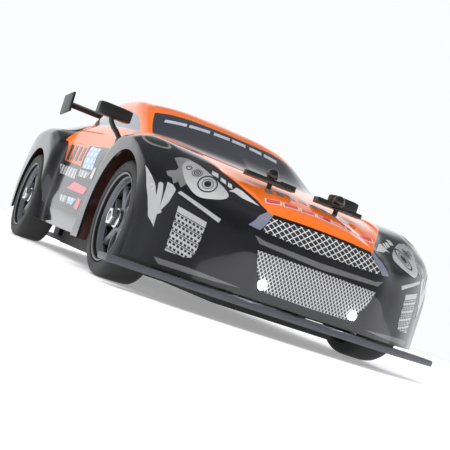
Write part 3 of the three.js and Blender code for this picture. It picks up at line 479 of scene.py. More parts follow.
shell_inside = new_material("shell_inside", Roughness=0.5)
inside_tone = noise(shell_inside, 0.01, 4.0)
to_shader(shell_inside, "Base Color", mix(
    shell_inside, inside_tone, (0.07, 0.016, 0.008, 1), (0.12, 0.028, 0.010, 1)))
to_shader(shell_inside, "Roughness", spread(shell_inside, inside_tone, 0.4, 0.6))
body_shell.data.materials.append(shell_paint)
body_shell.data.materials.append(shell_inside)
cut_with(body_shell, *[arch_cutter(end, side) for end in arch_centres for side in (-1, 1)])
smooth_by_angle(body_shell, 40)
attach(body_shell, "shell")
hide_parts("body_shell")

# ---- Side vents ----
# Printed film laid on each corner of the nose: a silver panel with a plain band along the top and
# four bands of black slots.
skin_tree = BVHTree.FromObject(body_shell, bpy.context.evaluated_depsgraph_get())
FILM = 0.1 * MM
LAY_FROM = {
    "front": Vector((0, 1, 0)), "back": Vector((0, -1, 0)), "top": Vector((0, 0, -1)),
    "left": Vector((-1, 0, 0)), "right": Vector((1, 0, 0)),
}


def flat_place(seen_from, a, b, reach=0.5):
    """A point outside the car that looks onto flat coordinates (a, b) of one of its views."""
    if seen_from == "front":
        return Vector((a, -reach, b))
    if seen_from == "back":
        return Vector((a, reach, b))
    if seen_from == "top":
        return Vector((a, b, reach))
    return Vector((reach if seen_from == "left" else -reach, a, b))


def lay_film(name, seen_from, flat, faces, material, lift=0.12 * MM, body="shell"):
    """Lays a flat drawing onto the shell along one view, and gives it the thickness of a film.
    Its UV map holds the flat coordinates in centimetres."""
    points = []
    for a, b in flat:
        hit, normal, _, _ = skin_tree.ray_cast(flat_place(seen_from, a, b), LAY_FROM[seen_from])
        points.append(hit + normal * lift)
    film = mesh_object(name, points, faces)
    uv = film.data.uv_layers.new(name="flat")
    for loop in film.data.loops:
        a, b = flat[loop.vertex_index]
        uv.data[loop.index].uv = (a * 100, b * 100)
    film.data.materials.append(material)
    settle(film, 0.000001)
    outward = -LAY_FROM[seen_from]
    if sum(p.normal.dot(outward) * p.area for p in film.data.polygons) < 0:
        film.data.flip_normals()
    wall = film.modifiers.new("film", "SOLIDIFY")
    wall.thickness = FILM
    wall.offset = -1
    apply_modifiers(film)
    for polygon in film.data.polygons:
        polygon.use_smooth = True
    smooth_by_angle(film, 40)
    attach(film, body)
    return film


def fill_outline(outline, step):
    """The inside of an outline as small flat faces, cut along lines step apart."""
    drawing = bmesh.new()
    drawing.faces.new([drawing.verts.new((a, b, 0)) for a, b in outline])
    for axis in (0, 1):
        low = min(p[axis] for p in outline)
        high = max(p[axis] for p in outline)
        normal = (1, 0, 0) if axis == 0 else (0, 1, 0)
        for i in range(1, int((high - low) / step) + 1):
            place = [0, 0, 0]
            place[axis] = low + i * step
            if place[axis] < high:
                everything = drawing.verts[:] + drawing.edges[:] + drawing.faces[:]
                bmesh.ops.bisect_plane(drawing, geom=everything, plane_co=place, plane_no=normal)
    bmesh.ops.triangulate(drawing, faces=drawing.faces[:])
    drawing.verts.index_update()
    flat = [(v.co.x, v.co.y) for v in drawing.verts]
    faces = [tuple(v.index for v in f.verts) for f in drawing.faces]
    drawing.free()
    return flat, faces


def lay_outline(name, seen_from, outline_mm, material, lift_mm=0.12, step_mm=1.5, mirror=False):
    """Lays a filled outline in millimetres on the shell, or its mirror image across the car."""
    flat, faces = fill_outline([(a * MM, b * MM) for a, b in outline_mm], step_mm * MM)
    if mirror and seen_from in ("front", "top", "back"):
        flat = [(-a, b) for a, b in flat]
    return lay_film(name, seen_from, flat, faces, material, lift_mm * MM)


def lay_pair(name, seen_from, outline_mm, material, **settings):
    """The same film on both sides of the car. The outline is drawn on the right side."""
    if seen_from == "side":
        return [
            lay_outline(f"{name}_{side}", side, outline_mm, material, **settings)
            for side in ("left", "right")
        ]
    return [
        lay_outline(f"{name}_{side}", seen_from, outline_mm, material, mirror=side == "left", **settings)
        for side in ("left", "right")
    ]


def rounded(points, per_side=6):
    """A closed smooth outline through the points."""
    outline = []
    count = len(points)
    for i in range(count):
        p0, p1, p2, p3 = (np.array(points[(i + k) % count], float) for k in (-1, 0, 1, 2))
        for t in np.arange(per_side) / per_side:
            outline.append(tuple(0.5 * (
                2 * p1 + (p2 - p0) * t + (2 * p0 - 5 * p1 + 4 * p2 - p3) * t * t
                + (3 * p1 - p0 - 3 * p2 + p3) * t ** 3)))
    return outline


def flat_parts(material):
    """The two flat coordinates of a film, in centimetres."""
    flat_uv = add_node(material, "ShaderNodeUVMap", uv_map="flat").outputs[0]
    parts = add_node(material, "ShaderNodeSeparateXYZ", flat_uv)
    return parts.outputs["X"], parts.outputs["Y"]


def wave(material, value, pitch, shift=0.0):
    """Runs from 0 to 1 and back to 0 over each pitch of a value in centimetres."""
    share = calc(material, "MULTIPLY_ADD", value, 1 / pitch, shift)
    return calc(material, "PINGPONG", calc(material, "MULTIPLY", share, 2.0), 1.0)


def film_print(name, roughness, size, dark, light, *detail):
    """Film in one glossy colour that wanders a little between dark and light."""
    material = new_material(name, Roughness=roughness, Coat_Weight=1.0)
    to_shader(material, "Base Color", mix(material, noise(material, size, *detail), dark, light))
    return material


VENT_OUTLINE = [(-60.3, 37.4), (-49.6, 34.8), (-50.2, 22), (-51.2, 19.9), (-53.2, 19.2), (-60.2, 19.4)]
vent_print = new_material("vent_print", Roughness=0.3, Metallic=0.25, Coat_Weight=1.0)
across, up = flat_parts(vent_print)
# The panel's bands lean with its top edge, which falls towards the middle of the car.
up_panel = calc(vent_print, "MULTIPLY_ADD", calc(vent_print, "ABSOLUTE", across), -0.24, up)
band = wave(vent_print, up_panel, 0.36, 0.32)
in_row = calc(vent_print, "GREATER_THAN", wave(vent_print, up_panel, 0.18, 0.64), 0.46)
row_shift = calc(vent_print, "MULTIPLY", calc(vent_print, "FLOOR", calc(
    vent_print, "MULTIPLY_ADD", up_panel, 1 / 0.18, 0.64)), 0.5)
slot_place = calc(vent_print, "MULTIPLY_ADD", across, 1 / 0.145, row_shift)
in_slot = calc(vent_print, "GREATER_THAN", calc(
    vent_print, "PINGPONG", calc(vent_print, "MULTIPLY", slot_place, 2.0), 1.0), 0.38)
below_top = calc(vent_print, "LESS_THAN", up_panel, 2.06)
above_foot = calc(vent_print, "GREATER_THAN", up_panel, 0.60)
line_shown = calc(vent_print, "LESS_THAN", band, 0.10)
slots = calc(vent_print, "MULTIPLY", calc(vent_print, "MULTIPLY", in_row, in_slot), calc(
    vent_print, "MULTIPLY", below_top, above_foot))
dark_share = calc(vent_print, "MAXIMUM", slots, calc(vent_print, "MULTIPLY", line_shown, below_top))
silver = mix(vent_print, noise(vent_print, 0.01), grey(0.50), grey(0.66))
to_shader(vent_print, "Base Color", mix(vent_print, dark_share, silver, grey(0.012)))
to_shader(vent_print, "Roughness", spread(vent_print, dark_share, 0.3, 0.5))
add_bump(vent_print, dark_share, 0.3, -0.0003)
lay_pair("side_vent", "front", VENT_OUTLINE, vent_print)

# ---- Crease highlights ----
# A painted highlight: a light strip over each side vent, along the fold between the nose and the lamp.
# A silver film, used as print for the claw flashes and tail lamp rims, and as a painted highlight along the
# nose creases.
silver_print_and_highlight = new_material("silver_print_and_highlight", Roughness=0.25, Metallic=0.2, Coat_Weight=1.0)
to_shader(silver_print_and_highlight, "Base Color", mix(silver_print_and_highlight, noise(silver_print_and_highlight, 0.012, 3.0), grey(0.44), grey(0.62)))
to_shader(silver_print_and_highlight, "Roughness", spread(silver_print_and_highlight, noise(silver_print_and_highlight, 0.006), 0.2, 0.32))
lay_pair("crease_painted_highlight", "front", [(-61.6, 42.2), (-60.8, 43.3), (-45.0, 37.7), (-45.6, 36.1)], silver_print_and_highlight)

# ---- Headlamps ----
# An almond of pale grey film with three printed lamps of rings, and a grey flick behind it.
lamp_film = new_material("lamp_film", Roughness=0.2, Coat_Weight=1.0)
lamp_up = flat_parts(lamp_film)[1]
lamp_share = calc(lamp_film, "MULTIPLY_ADD", lamp_up, 0.75, -3.3)
lamp_cloud = calc(lamp_film, "MULTIPLY_ADD", noise(lamp_film, 0.006), 0.5, lamp_share)
to_shader(lamp_film, "Base Color", mix(lamp_film, lamp_cloud, grey(0.62), grey(0.33)))
flick_film = film_print("flick_film", 0.25, 0.01, grey(0.13), grey(0.24), 3.0)
print_black = film_print("print_black", 0.2, 0.004, grey(0.008), grey(0.016))
print_grey = film_print("print_grey", 0.25, 0.004, grey(0.10), grey(0.16))

FLICK_OUTLINE = [
    (-62.6, 56.0), (-60.2, 57.2), (-56.4, 57.8), (-54.5, 57.0), (-57.5, 54.5), (-58.5, 50.5), (-59.0, 46.8),
    (-61.0, 44.6), (-62.2, 46.6), (-63.7, 45.2), (-64.3, 47.3), (-65.9, 47.8), (-66.4, 49.3), (-64.4, 50.3),
    (-62.6, 50.9), (-61.4, 52.4),
]
ALMOND_OUTLINE = [
    (-59.9, 53.6), (-58.4, 55.7), (-56.0, 57.1), (-52.8, 56.7), (-49.0, 54.9), (-45.4, 52.3),
    (-42.8, 50.0), (-41.9, 47.6), (-44.8, 45.5), (-50.0, 43.9), (-53.8, 43.3), (-56.7, 44.3),
    (-59.0, 46.9), (-59.9, 50.2),
]
lay_pair("lamp_flick", "front", FLICK_OUTLINE, flick_film, lift_mm=0.12)
lay_pair("lamp_almond", "front", rounded(ALMOND_OUTLINE, 4), lamp_film, lift_mm=0.24, step_mm=1.2)


def lay_ring(name, centre, long_arm, short_arm, inner, outer, material, lift_mm):
    """A ring, or a disc if inner is 0, as an oval with two arms in millimetres, on both sides."""
    around = np.linspace(0, 2 * math.pi, 41)
    across_ring = np.linspace(inner, outer, 4)
    flat = [
        (centre[0] + r * (long_arm[0] * math.cos(t) + short_arm[0] * math.sin(t)),
         centre[1] + r * (long_arm[1] * math.cos(t) + short_arm[1] * math.sin(t)))
        for r in across_ring for t in around
    ]
    faces = grid_faces(len(around), len(across_ring))
    for side, sign in (("right", 1), ("left", -1)):
        placed = [(sign * a * MM, b * MM) for a, b in flat]
        lay_film(f"{name}_{side}", "front", placed, faces, material, lift_mm * MM)


BIG_LAMP = ((-50.2, 49.6), (4.5, 1.55), (0.6, 3.5))
MIDDLE_LAMP = ((-54.0, 52.7), (2.4, 0.8), (0.3, 1.6))
SMALL_LAMP = ((-57.2, 53.7), (1.3, 0.4), (0.15, 0.85))
for number, (lamp, shapes) in enumerate((
    (BIG_LAMP, ((0.88, 1.0, print_black), (0.52, 0.60, print_grey), (0.0, 0.36, print_black))),
    (MIDDLE_LAMP, ((0.84, 1.0, print_grey), (0.50, 0.64, print_black), (0.0, 0.3, print_grey))),
    (SMALL_LAMP, ((0.75, 1.0, print_black),)),
)):
    for part, (inner, outer, material) in enumerate(shapes):
        lay_ring(f"lamp_{number}_ring_{part}", *lamp, inner, outer, material, 0.36)

# ---- Nose flashes ----
# Three dashes and a long wedge between each lamp and the bonnet, and a claw behind the vent.
flash_film = film_print("flash_film", 0.22, 0.01, grey(0.46), grey(0.62), 3.0)
DASHES = [
    [(-47.4, 54.6), (-46.3, 56.4), (-43.8, 56.0), (-44.6, 54.0)],
    [(-43.9, 53.1), (-43.2, 54.8), (-41.2, 54.2), (-41.6, 52.4)],
    [(-41.2, 51.9), (-40.3, 53.7), (-38.9, 53.3), (-39.5, 51.3)],
]
for number, dash in enumerate(DASHES):
    lay_pair(f"nose_dash_{number}", "front", dash, flash_film, lift_mm=0.15)
WEDGE = [
    (-41.2, 50.1), (-39.6, 50.9), (-37.2, 52.7), (-35.0, 52.1), (-29.4, 48.1),
    (-36.0, 49.0), (-38.8, 50.2),
]
lay_pair("nose_wedge", "front", WEDGE, flash_film, lift_mm=0.15)
CLAW = [
    (-73.4, 49.1), (-71.4, 46.3), (-69.7, 43.6), (-69.0, 42.0), (-68.0, 38.2), (-68.2, 41.5), (-68.4, 43.6),
    (-67.8, 44.4), (-66.8, 44.0), (-66.3, 40.4), (-66.0, 34.6), (-65.7, 41.6), (-65.6, 45.2), (-63.6, 44.7),
    (-62.4, 43.2), (-63.6, 37.8), (-65.3, 33.8), (-64.9, 33.0), (-66.2, 31.6), (-66.0, 26.6), (-66.6, 27.6),
    (-68.7, 30.0), (-70.5, 36.8), (-72.0, 41.4),
]
lay_pair("claw_flash", "front", CLAW, silver_print_and_highlight, step_mm=1.2)

# ---- Grilles ----
# Printed mesh on black film: a wide diamond mesh under the bonnet, between two grey facets, and a
# finer one between the lamps. A grey bar crosses between them.


def mesh_print(name, pitch, height, line, wire, ground):
    """Film printed with a diamond mesh. Pitch and height are those of one diamond, in centimetres."""
    material = new_material(name, Roughness=0.25, Coat_Weight=1.0)
    a, b = flat_parts(material)
    a_share = calc(material, "MULTIPLY", a, 1 / pitch)
    b_share = calc(material, "MULTIPLY", b, 1 / height)
    shares = []
    for way in ("ADD", "SUBTRACT"):
        slanted = calc(material, way, a_share, b_share)
        shares.append(calc(material, "PINGPONG", calc(material, "MULTIPLY", slanted, 2.0), 1.0))
    on_wire = calc(material, "LESS_THAN", calc(material, "MINIMUM", *shares), line)
    cloud = noise(material, 0.01)
    to_shader(material, "Base Color", mix(
        material, on_wire, mix(material, cloud, grey(ground), grey(ground * 1.8)),
        mix(material, cloud, grey(wire * 0.85), grey(wire))))
    to_shader(material, "Roughness", spread(material, on_wire, 0.45, 0.25))
    add_bump(material, on_wire, 0.4, 0.0002)
    return material


wide_mesh = mesh_print("wide_mesh", 0.34, 0.26, 0.17, 0.85, 0.02)
fine_mesh = mesh_print("fine_mesh", 0.17, 0.24, 0.27, 0.68, 0.012)
facet_film = film_print("facet_film", 0.3, 0.01, (0.17, 0.18, 0.24, 1), (0.25, 0.26, 0.33, 1))
# A grey film for the cross bar, also used as a painted highlight along the nose lip.
bar_grey_and_lip_highlight = film_print("bar_grey_and_lip_highlight", 0.3, 0.012, grey(0.11), grey(0.19))

UPPER_GRILLE = [
    (-29.6, 38.7), (-25.2, 44.9), (-14, 45.7), (0, 46.0), (14, 45.7), (25.2, 44.9), (29.6, 38.7), (15, 38.0),
    (0, 37.8), (-15, 38.0),
]
LOWER_GRILLE = [
    (-29, 31.0), (0, 31.3), (29, 31.0), (26.5, 23.5), (20, 16.4),
    (0, 16.0), (-20, 16.4), (-26.5, 23.5),
]
CROSS_BAR = [
    (-31.6, 36.2), (-27, 35.2), (0, 34.6), (27, 35.2), (31.6, 36.2),
    (29, 33.6), (0, 32.2), (-29, 33.6),
]
FACET = [(-34.8, 39.3), (-30.6, 44.0), (-26.6, 46.9), (-24.4, 46.0), (-30.2, 38.6)]
lay_outline("upper_grille", "front", UPPER_GRILLE, wide_mesh)
lay_outline("lower_grille", "front", LOWER_GRILLE, fine_mesh)
lay_outline("cross_bar", "front", CROSS_BAR, bar_grey_and_lip_highlight)
lay_pair("grille_facet", "front", FACET, facet_film, lift_mm=0.18)
BONNET_SLOT = [(-24.4, 46.5), (-23.8, 45.2), (-18, 45.2), (-13.6, 45.9), (-18, 46.6)]
lay_pair("bonnet_slot", "front", BONNET_SLOT, print_black, lift_mm=0.2)
# A painted highlight: a light grey strip along the lower edge of the nose lip on each side.
LIP_HIGHLIGHT = [(-63, 15.8), (-61, 13.6), (-50, 13.8), (-40, 14.2), (-29.8, 15.0), (-41, 15.6), (-52, 16.0)]
lay_pair("lip_painted_highlight", "front", LIP_HIGHLIGHT, bar_grey_and_lip_highlight)

# ---- Fender vents ----
# A black slot with a grey rim, printed on the top of each front fender.
VENT_SLOT = [
    (-71.6, -95.5), (-68.4, -95.0), (-64.8, -100.8), (-63.8, -106.0), (-66.0, -106.8),
    (-70.6, -102.8),
]
VENT_RIM = [
    (-72.4, -94.4), (-67.9, -94.0), (-63.8, -100.0), (-62.8, -107.4), (-66.0, -108.0),
    (-71.4, -103.6),
]
lay_pair("fender_vent_rim", "top", rounded(VENT_RIM, 4), flick_film, lift_mm=0.1)
lay_pair("fender_vent_slot", "top", rounded(VENT_SLOT, 4), print_black, lift_mm=0.22)

# ---- Bonnet stripes ----
# A row of red dashes on pale ground along the bonnet's front edge, and grey dashes behind it.
stripe_red = film_print("stripe_red", 0.2, 0.006, (0.72, 0.03, 0.06, 1), (0.82, 0.06, 0.09, 1))
stripe_pale = film_print("stripe_pale", 0.2, 0.006, (0.82, 0.70, 0.66, 1), (0.90, 0.80, 0.76, 1))
STRIPE_PITCH, STRIPE_COUNT, STRIPE_WIDTH, STRIPE_LENGTH = 8.0, 7, 6.4, 3.4
STRIPE_SLANT = 1.2
STRIPE_BORDER = 0.6
FIRST_STRIPE_X = -22
TICK_PITCH, TICK_COUNT, TICK_LENGTH, TICK_Y = 5.6, 8, 4.6, -120.5


def stripe_outline(x, y, border):
    """A leaning dash with its middle at x and its front edge at y, grown by a border."""
    half = STRIPE_WIDTH / 2
    return [
        (x - half - border, y - border), (x + half + border, y - border),
        (x + half + border + STRIPE_SLANT, y + STRIPE_LENGTH + border),
        (x - half - border + STRIPE_SLANT, y + STRIPE_LENGTH + border),
    ]


for number in range(STRIPE_COUNT):
    x = FIRST_STRIPE_X + number * STRIPE_PITCH
    y = -132.8 + 0.004 * x * x
    ground = stripe_outline(x, y, STRIPE_BORDER)
    lay_outline(f"bonnet_dash_ground_{number}", "top", ground, stripe_pale, lift_mm=0.1)
    lay_outline(f"bonnet_dash_{number}", "top", stripe_outline(x, y, 0), stripe_red, lift_mm=0.22)
for number in range(TICK_COUNT):
    x = (number - 3.5) * TICK_PITCH
    back_y = TICK_Y + TICK_LENGTH
    tick = [(x - 2.2, TICK_Y), (x + 1.6, TICK_Y), (x + 2.6, back_y), (x - 1.2, back_y)]
    lay_outline(f"bonnet_tick_{number}", "top", tick, flick_film)

# ---- Windscreen band ----
# Six pale dashes along the top of the windscreen.
band_film = film_print("band_film", 0.25, 0.008, (0.40, 0.44, 0.54, 1), (0.58, 0.62, 0.72, 1))


def band_height(x):
    """Height of the band's middle over the ground, at a place across the car."""
    return 87.0 - 0.0026 * x * x


BAND_DASHES = ((-41, -28.5), (-27, -14.2), (-11.8, -2), (-0.5, 8.0), (10.5, 18), (19.5, 27.5))
for number, (start, stop) in enumerate(BAND_DASHES):
    xs = np.linspace(start, stop, 9)
    outline = [(x, band_height(x) - 1.0) for x in xs] + [(x + 1.4, band_height(x) + 1.0) for x in xs[::-1]]
    lay_outline(f"windscreen_dash_{number}", "front", outline, band_film, lift_mm=0.15)

# ---- Door panels ----
# Blocks of colour on each door: an orange box with dark chevrons, a pale blue box, light strips, a
# red wedge and a small flag of blocks.
door_orange = film_print("door_orange", 0.22, 0.01, (0.80, 0.14, 0.02, 1), (0.90, 0.20, 0.04, 1))
door_blue = new_material("door_blue", Roughness=0.22, Coat_Weight=1.0)
blue_along, blue_up = flat_parts(door_blue)
in_column = calc(door_blue, "GREATER_THAN", wave(door_blue, blue_along, 0.7, 0.1), 0.45)
in_line = calc(door_blue, "GREATER_THAN", wave(door_blue, blue_up, 0.36, 0.2), 0.40)
blue_cell = calc(door_blue, "MULTIPLY", in_column, in_line)
to_shader(door_blue, "Base Color", mix(door_blue, blue_cell, (0.30, 0.50, 0.72, 1), (0.62, 0.74, 0.84, 1)))
door_white = new_material("door_white", Roughness=0.22, Coat_Weight=1.0)
white_along = flat_parts(door_white)[0]
white_gap = calc(door_white, "GREATER_THAN", wave(door_white, white_along, 0.62, 0.3), 0.34)
to_shader(door_white, "Base Color", mix(door_white, white_gap, grey(0.10), grey(0.60)))
door_red = film_print("door_red", 0.22, 0.01, (0.70, 0.06, 0.08, 1), (0.82, 0.14, 0.16, 1))
DOOR_BLOCKS = [
    ("door_box", door_orange, [(55.4, 62.0), (16.5, 60.2), (9.6, 47.8), (47.5, 50.4)]),
    ("door_plate", door_blue, [(12.8, 59.9), (-7, 58.6), (-14, 46.4), (6.4, 47.1)]),
    ("door_strip_a", door_white, [(53.4, 48.0), (13.4, 45.9), (12.1, 40.4), (46.6, 42.6)]),
    ("door_strip_b", door_white, [(8.1, 46.0), (-11.9, 44.9), (-9.2, 41.6), (7.3, 42.4)]),
    ("door_strip_c", door_white, [(-14.5, 48.0), (-20.0, 47.6), (-21.0, 41.5), (-14.5, 42.0)]),
    ("door_wedge", door_red, [(21, 34.9), (10, 39), (-18.2, 36.7), (-15, 33.2)]),
    ("door_flag_a", door_white, [(30.8, 30.9), (14, 30.6), (15, 27.0), (26.5, 27.3)]),
    ("door_flag_b", door_blue, [(12, 30.6), (-4, 30.2), (1, 26.8), (12, 27.0)]),
    ("door_flag_c", door_red, [(-6.8, 31), (-14.2, 30.4), (-11.8, 24.8), (-4.3, 25.5)]),
]
for name, material, outline in DOOR_BLOCKS:
    lay_pair(name, "side", outline, material)
CHEVRON_COUNT, CHEVRON_PITCH, CHEVRON_DROP = 4, 8.4, 0.4
for number in range(CHEVRON_COUNT):
    back = 49 - number * CHEVRON_PITCH
    drop = number * CHEVRON_DROP
    chevron = [
        (back, 60.2 - drop), (back - 4.4, 60.0 - drop), (back - 7.2, 55.0), (back - 8.6, 50.6),
        (back - 4.2, 50.8), (back - 2.8, 55.2),
    ]
    lay_pair(f"door_chevron_{number}", "side", chevron, print_black, lift_mm=0.24)

# ---- Tail films ----
# The tail is finished like the nose: a red lamp film at each corner, a grey band between them and
# a light mesh low down.
tail_red = new_material("tail_red", Roughness=0.15, Coat_Weight=1.0)
tail_across = flat_parts(tail_red)[0]
tail_ribs = wave(tail_red, tail_across, 0.3)
to_shader(tail_red, "Base Color", mix(tail_red, tail_ribs, (0.28, 0.008, 0.01, 1), (0.62, 0.02, 0.02, 1)))
add_bump(tail_red, tail_ribs, 0.3, 0.0002)
TAIL_LAMP = [(-62, 57), (-56, 60.5), (-44, 60), (-34, 56.5), (-36, 52), (-46, 50.5), (-58, 51.5)]
TAIL_RIM = [(-63.6, 57.4), (-56.4, 62), (-43.6, 61.4), (-32.4, 57), (-34.8, 50.8), (-46, 49.2), (-59.4, 50.2)]
lay_pair("tail_lamp_rim", "back", rounded(TAIL_RIM, 4), silver_print_and_highlight, lift_mm=0.1)
lay_pair("tail_lamp", "back", rounded(TAIL_LAMP, 4), tail_red, lift_mm=0.24)
lay_outline("tail_band", "back", [(-30, 58.5), (30, 58.5), (28, 52.5), (-28, 52.5)], flick_film)
lay_outline("tail_mesh", "back", [(-46, 33), (46, 33), (40, 24), (-40, 24)], fine_mesh)

# ---- Wheels ----
# Slick rubber tyres pressed onto plated plastic rims, each rim with a stepped lip, a deep barrel
# and five forked spokes, held on its axle by a bright six-sided nut.


def lathe_x(name, profile, steps=96):
    """A closed outline of (radius, x) in millimetres, turned once round the X axis."""
    points = [(x * MM, 0, r * MM) for r, x in profile]
    mesh = bpy.data.meshes.new(name)
    mesh.from_pydata(points, [(i, (i + 1) % len(points)) for i in range(len(points))], [])
    made = bpy.data.objects.new(name, mesh)
    bpy.context.scene.collection.objects.link(made)
    turn = made.modifiers.new("turn", "SCREW")
    turn.axis = "X"
    turn.steps = steps
    turn.render_steps = steps
    turn.use_merge_vertices = True
    turn.merge_threshold = 0.000001
    apply_modifiers(made)
    settle(made)
    return made


def loft(name, rings):
    """A closed solid through rings of points, each ring with as many points as the next."""
    count = len(rings[0])
    points = [p for ring in rings for p in ring]
    faces = []
    for r in range(len(rings) - 1):
        for i in range(count):
            j = (i + 1) % count
            faces.append((r * count + i, r * count + j, (r + 1) * count + j, (r + 1) * count + i))
    faces.append(tuple(range(count)))
    faces.append(tuple(range((len(rings) - 1) * count, len(rings) * count)))
    made = mesh_object(name, points, faces)
    settle(made, 0.0000001)
    return made


def join_pieces(name, pieces):
    bpy.ops.object.select_all(action="DESELECT")
    for piece in pieces:
        piece.select_set(True)
    bpy.context.view_layer.objects.active = pieces[0]
    bpy.ops.object.join()
    pieces[0].name = name
    pieces[0].data.name = name
    return pieces[0]


def round_edges(made, width_mm, segments=2, degrees=35):
    bevel = made.modifiers.new("edges", "BEVEL")
    bevel.width = width_mm * MM
    bevel.segments = segments
    bevel.limit_method = "ANGLE"
    bevel.angle_limit = math.radians(degrees)
    apply_modifiers(made)


def finish_piece(made, material, body, slot, *nodes, degrees=35):
    """Gives a piece its material, its shading and its body, and hides the CAD nodes it stands for."""
    made.data.materials.clear()
    made.data.materials.append(material)
    smooth_by_angle(made, degrees)
    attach(made, body)
    if nodes:
        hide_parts(*nodes)


tyre_rubber = new_material("tyre_rubber", Roughness=0.6, Specular_IOR_Level=0.35)
rubber_cloud = noise(tyre_rubber, 0.01, 4.0)
to_shader(tyre_rubber, "Base Color", mix(tyre_rubber, rubber_cloud, grey(0.018), grey(0.034)))
to_shader(tyre_rubber, "Roughness", spread(tyre_rubber, rubber_cloud, 0.45, 0.7))
add_bump(tyre_rubber, noise(tyre_rubber, 0.0012, 4.0), 0.25, 0.0001)
rim_gunmetal = new_material("rim_gunmetal", Metallic=0.55, Roughness=0.3)
rim_cloud = noise(rim_gunmetal, 0.012, 4.0)
to_shader(rim_gunmetal, "Base Color", mix(
    rim_gunmetal, rim_cloud, (0.15, 0.152, 0.17, 1), (0.21, 0.213, 0.235, 1)))
to_shader(rim_gunmetal, "Roughness", spread(rim_gunmetal, rim_cloud, 0.26, 0.4))
# Painted shade: a flat black for the rim's deep barrel and lip grooves, where the rim shades itself.
barrel_painted_shade = new_material("barrel_painted_shade", Roughness=0.7, Specular_IOR_Level=0.2)
to_shader(barrel_painted_shade, "Base Color", mix(
    barrel_painted_shade, noise(barrel_painted_shade, 0.01, 3.0), grey(0.006), grey(0.014)))
nut_chrome = new_material("nut_chrome", Metallic=1.0, Roughness=0.24)
nut_cloud = noise(nut_chrome, 0.003, 4.0)
to_shader(nut_chrome, "Base Color", mix(nut_chrome, nut_cloud, grey(0.78), grey(0.9)))
to_shader(nut_chrome, "Roughness", spread(nut_chrome, nut_cloud, 0.2, 0.32))

TYRE_SECTION = [
    (20.1, 7.8), (20.6, 8.5), (21.4, 8.7), (22.4, 8.55), (23.4, 8.6), (24.4, 8.35), (25.1, 7.8), (25.6, 7.0),
    (25.85, 6.0), (25.95, 4.6), (26.0, 2.4),
]
RIM_SECTION = [
    (20.0, -7.9), (20.0, 8.0), (19.8, 8.4), (19.3, 8.4), (18.9, 8.1), (18.7, 7.2), (18.5, 6.6), (17.9, 6.4),
    (17.6, 6.0), (17.4, 4.9), (17.2, 4.4), (16.9, 4.2), (17.4, 3.6), (18.0, 2.6), (18.2, 0.6), (18.2, -7.5),
    (18.6, -7.9),
]
HUB_SECTION = [(2.4, -3.0), (2.4, 4.6), (4.9, 4.6), (5.7, 4.2), (6.0, 3.4), (6.0, -2.4), (5.4, -3.0)]
SPOKES = 5
# An arm's section with its corners cut, as shares of half its width and half its depth.
ARM_SECTION = [
    (-0.7, 1.0), (0.7, 1.0), (1.0, 0.7), (1.0, -0.7), (0.7, -1.0), (-0.7, -1.0), (-1.0, -0.7), (-1.0, 0.7),
]
FLANGE_SECTION = [(2.4, 5.0), (2.4, 6.2), (4.1, 6.2), (4.4, 5.9), (4.4, 5.3), (4.1, 5.0)]


def spoke_arm(name, angle, lean):
    """One branch of a forked spoke, from the hub to the barrel, leaning away as it goes out."""
    rings = []
    for t in np.linspace(0, 1, 11):
        radius = (4.6 + 13.2 * t) * MM
        turn = angle + lean * (0.10 + 0.24 * t * t * (3 - 2 * t))
        width = (1.45 - 0.35 * t) * MM
        face = (4.1 + 0.5 * math.sin(math.pi * t) - 0.5 * t) * MM
        back = face - (3.0 - 0.6 * t) * MM
        # The branch's outer face is tilted, so that it looks twisted.
        tilt = lean * 0.55 * MM * (0.4 + t)
        ring = []
        for u, v in ARM_SECTION:
            x = (face + back) / 2 + v * (face - back) / 2 + (tilt * u if v > 0 else 0)
            side = u * width
            ring.append((
                x, radius * math.sin(turn) + side * math.cos(turn),
                radius * math.cos(turn) - side * math.sin(turn)))
        rings.append(ring)
    return loft(name, rings)


def place_wheel_piece(made, sign, centre_y):
    """Turns a piece made round the X axis to face outwards, and moves it to its wheel."""
    centre_x = sum(c.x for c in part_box("front_tyre_left")) / 2
    flip = Matrix.Scale(-1, 4, (1, 0, 0)) if sign < 0 else Matrix.Identity(4)
    made.data.transform(Matrix.Translation((sign * centre_x, centre_y, AXLE_Z)) @ flip)
    if sign < 0:
        made.data.flip_normals()


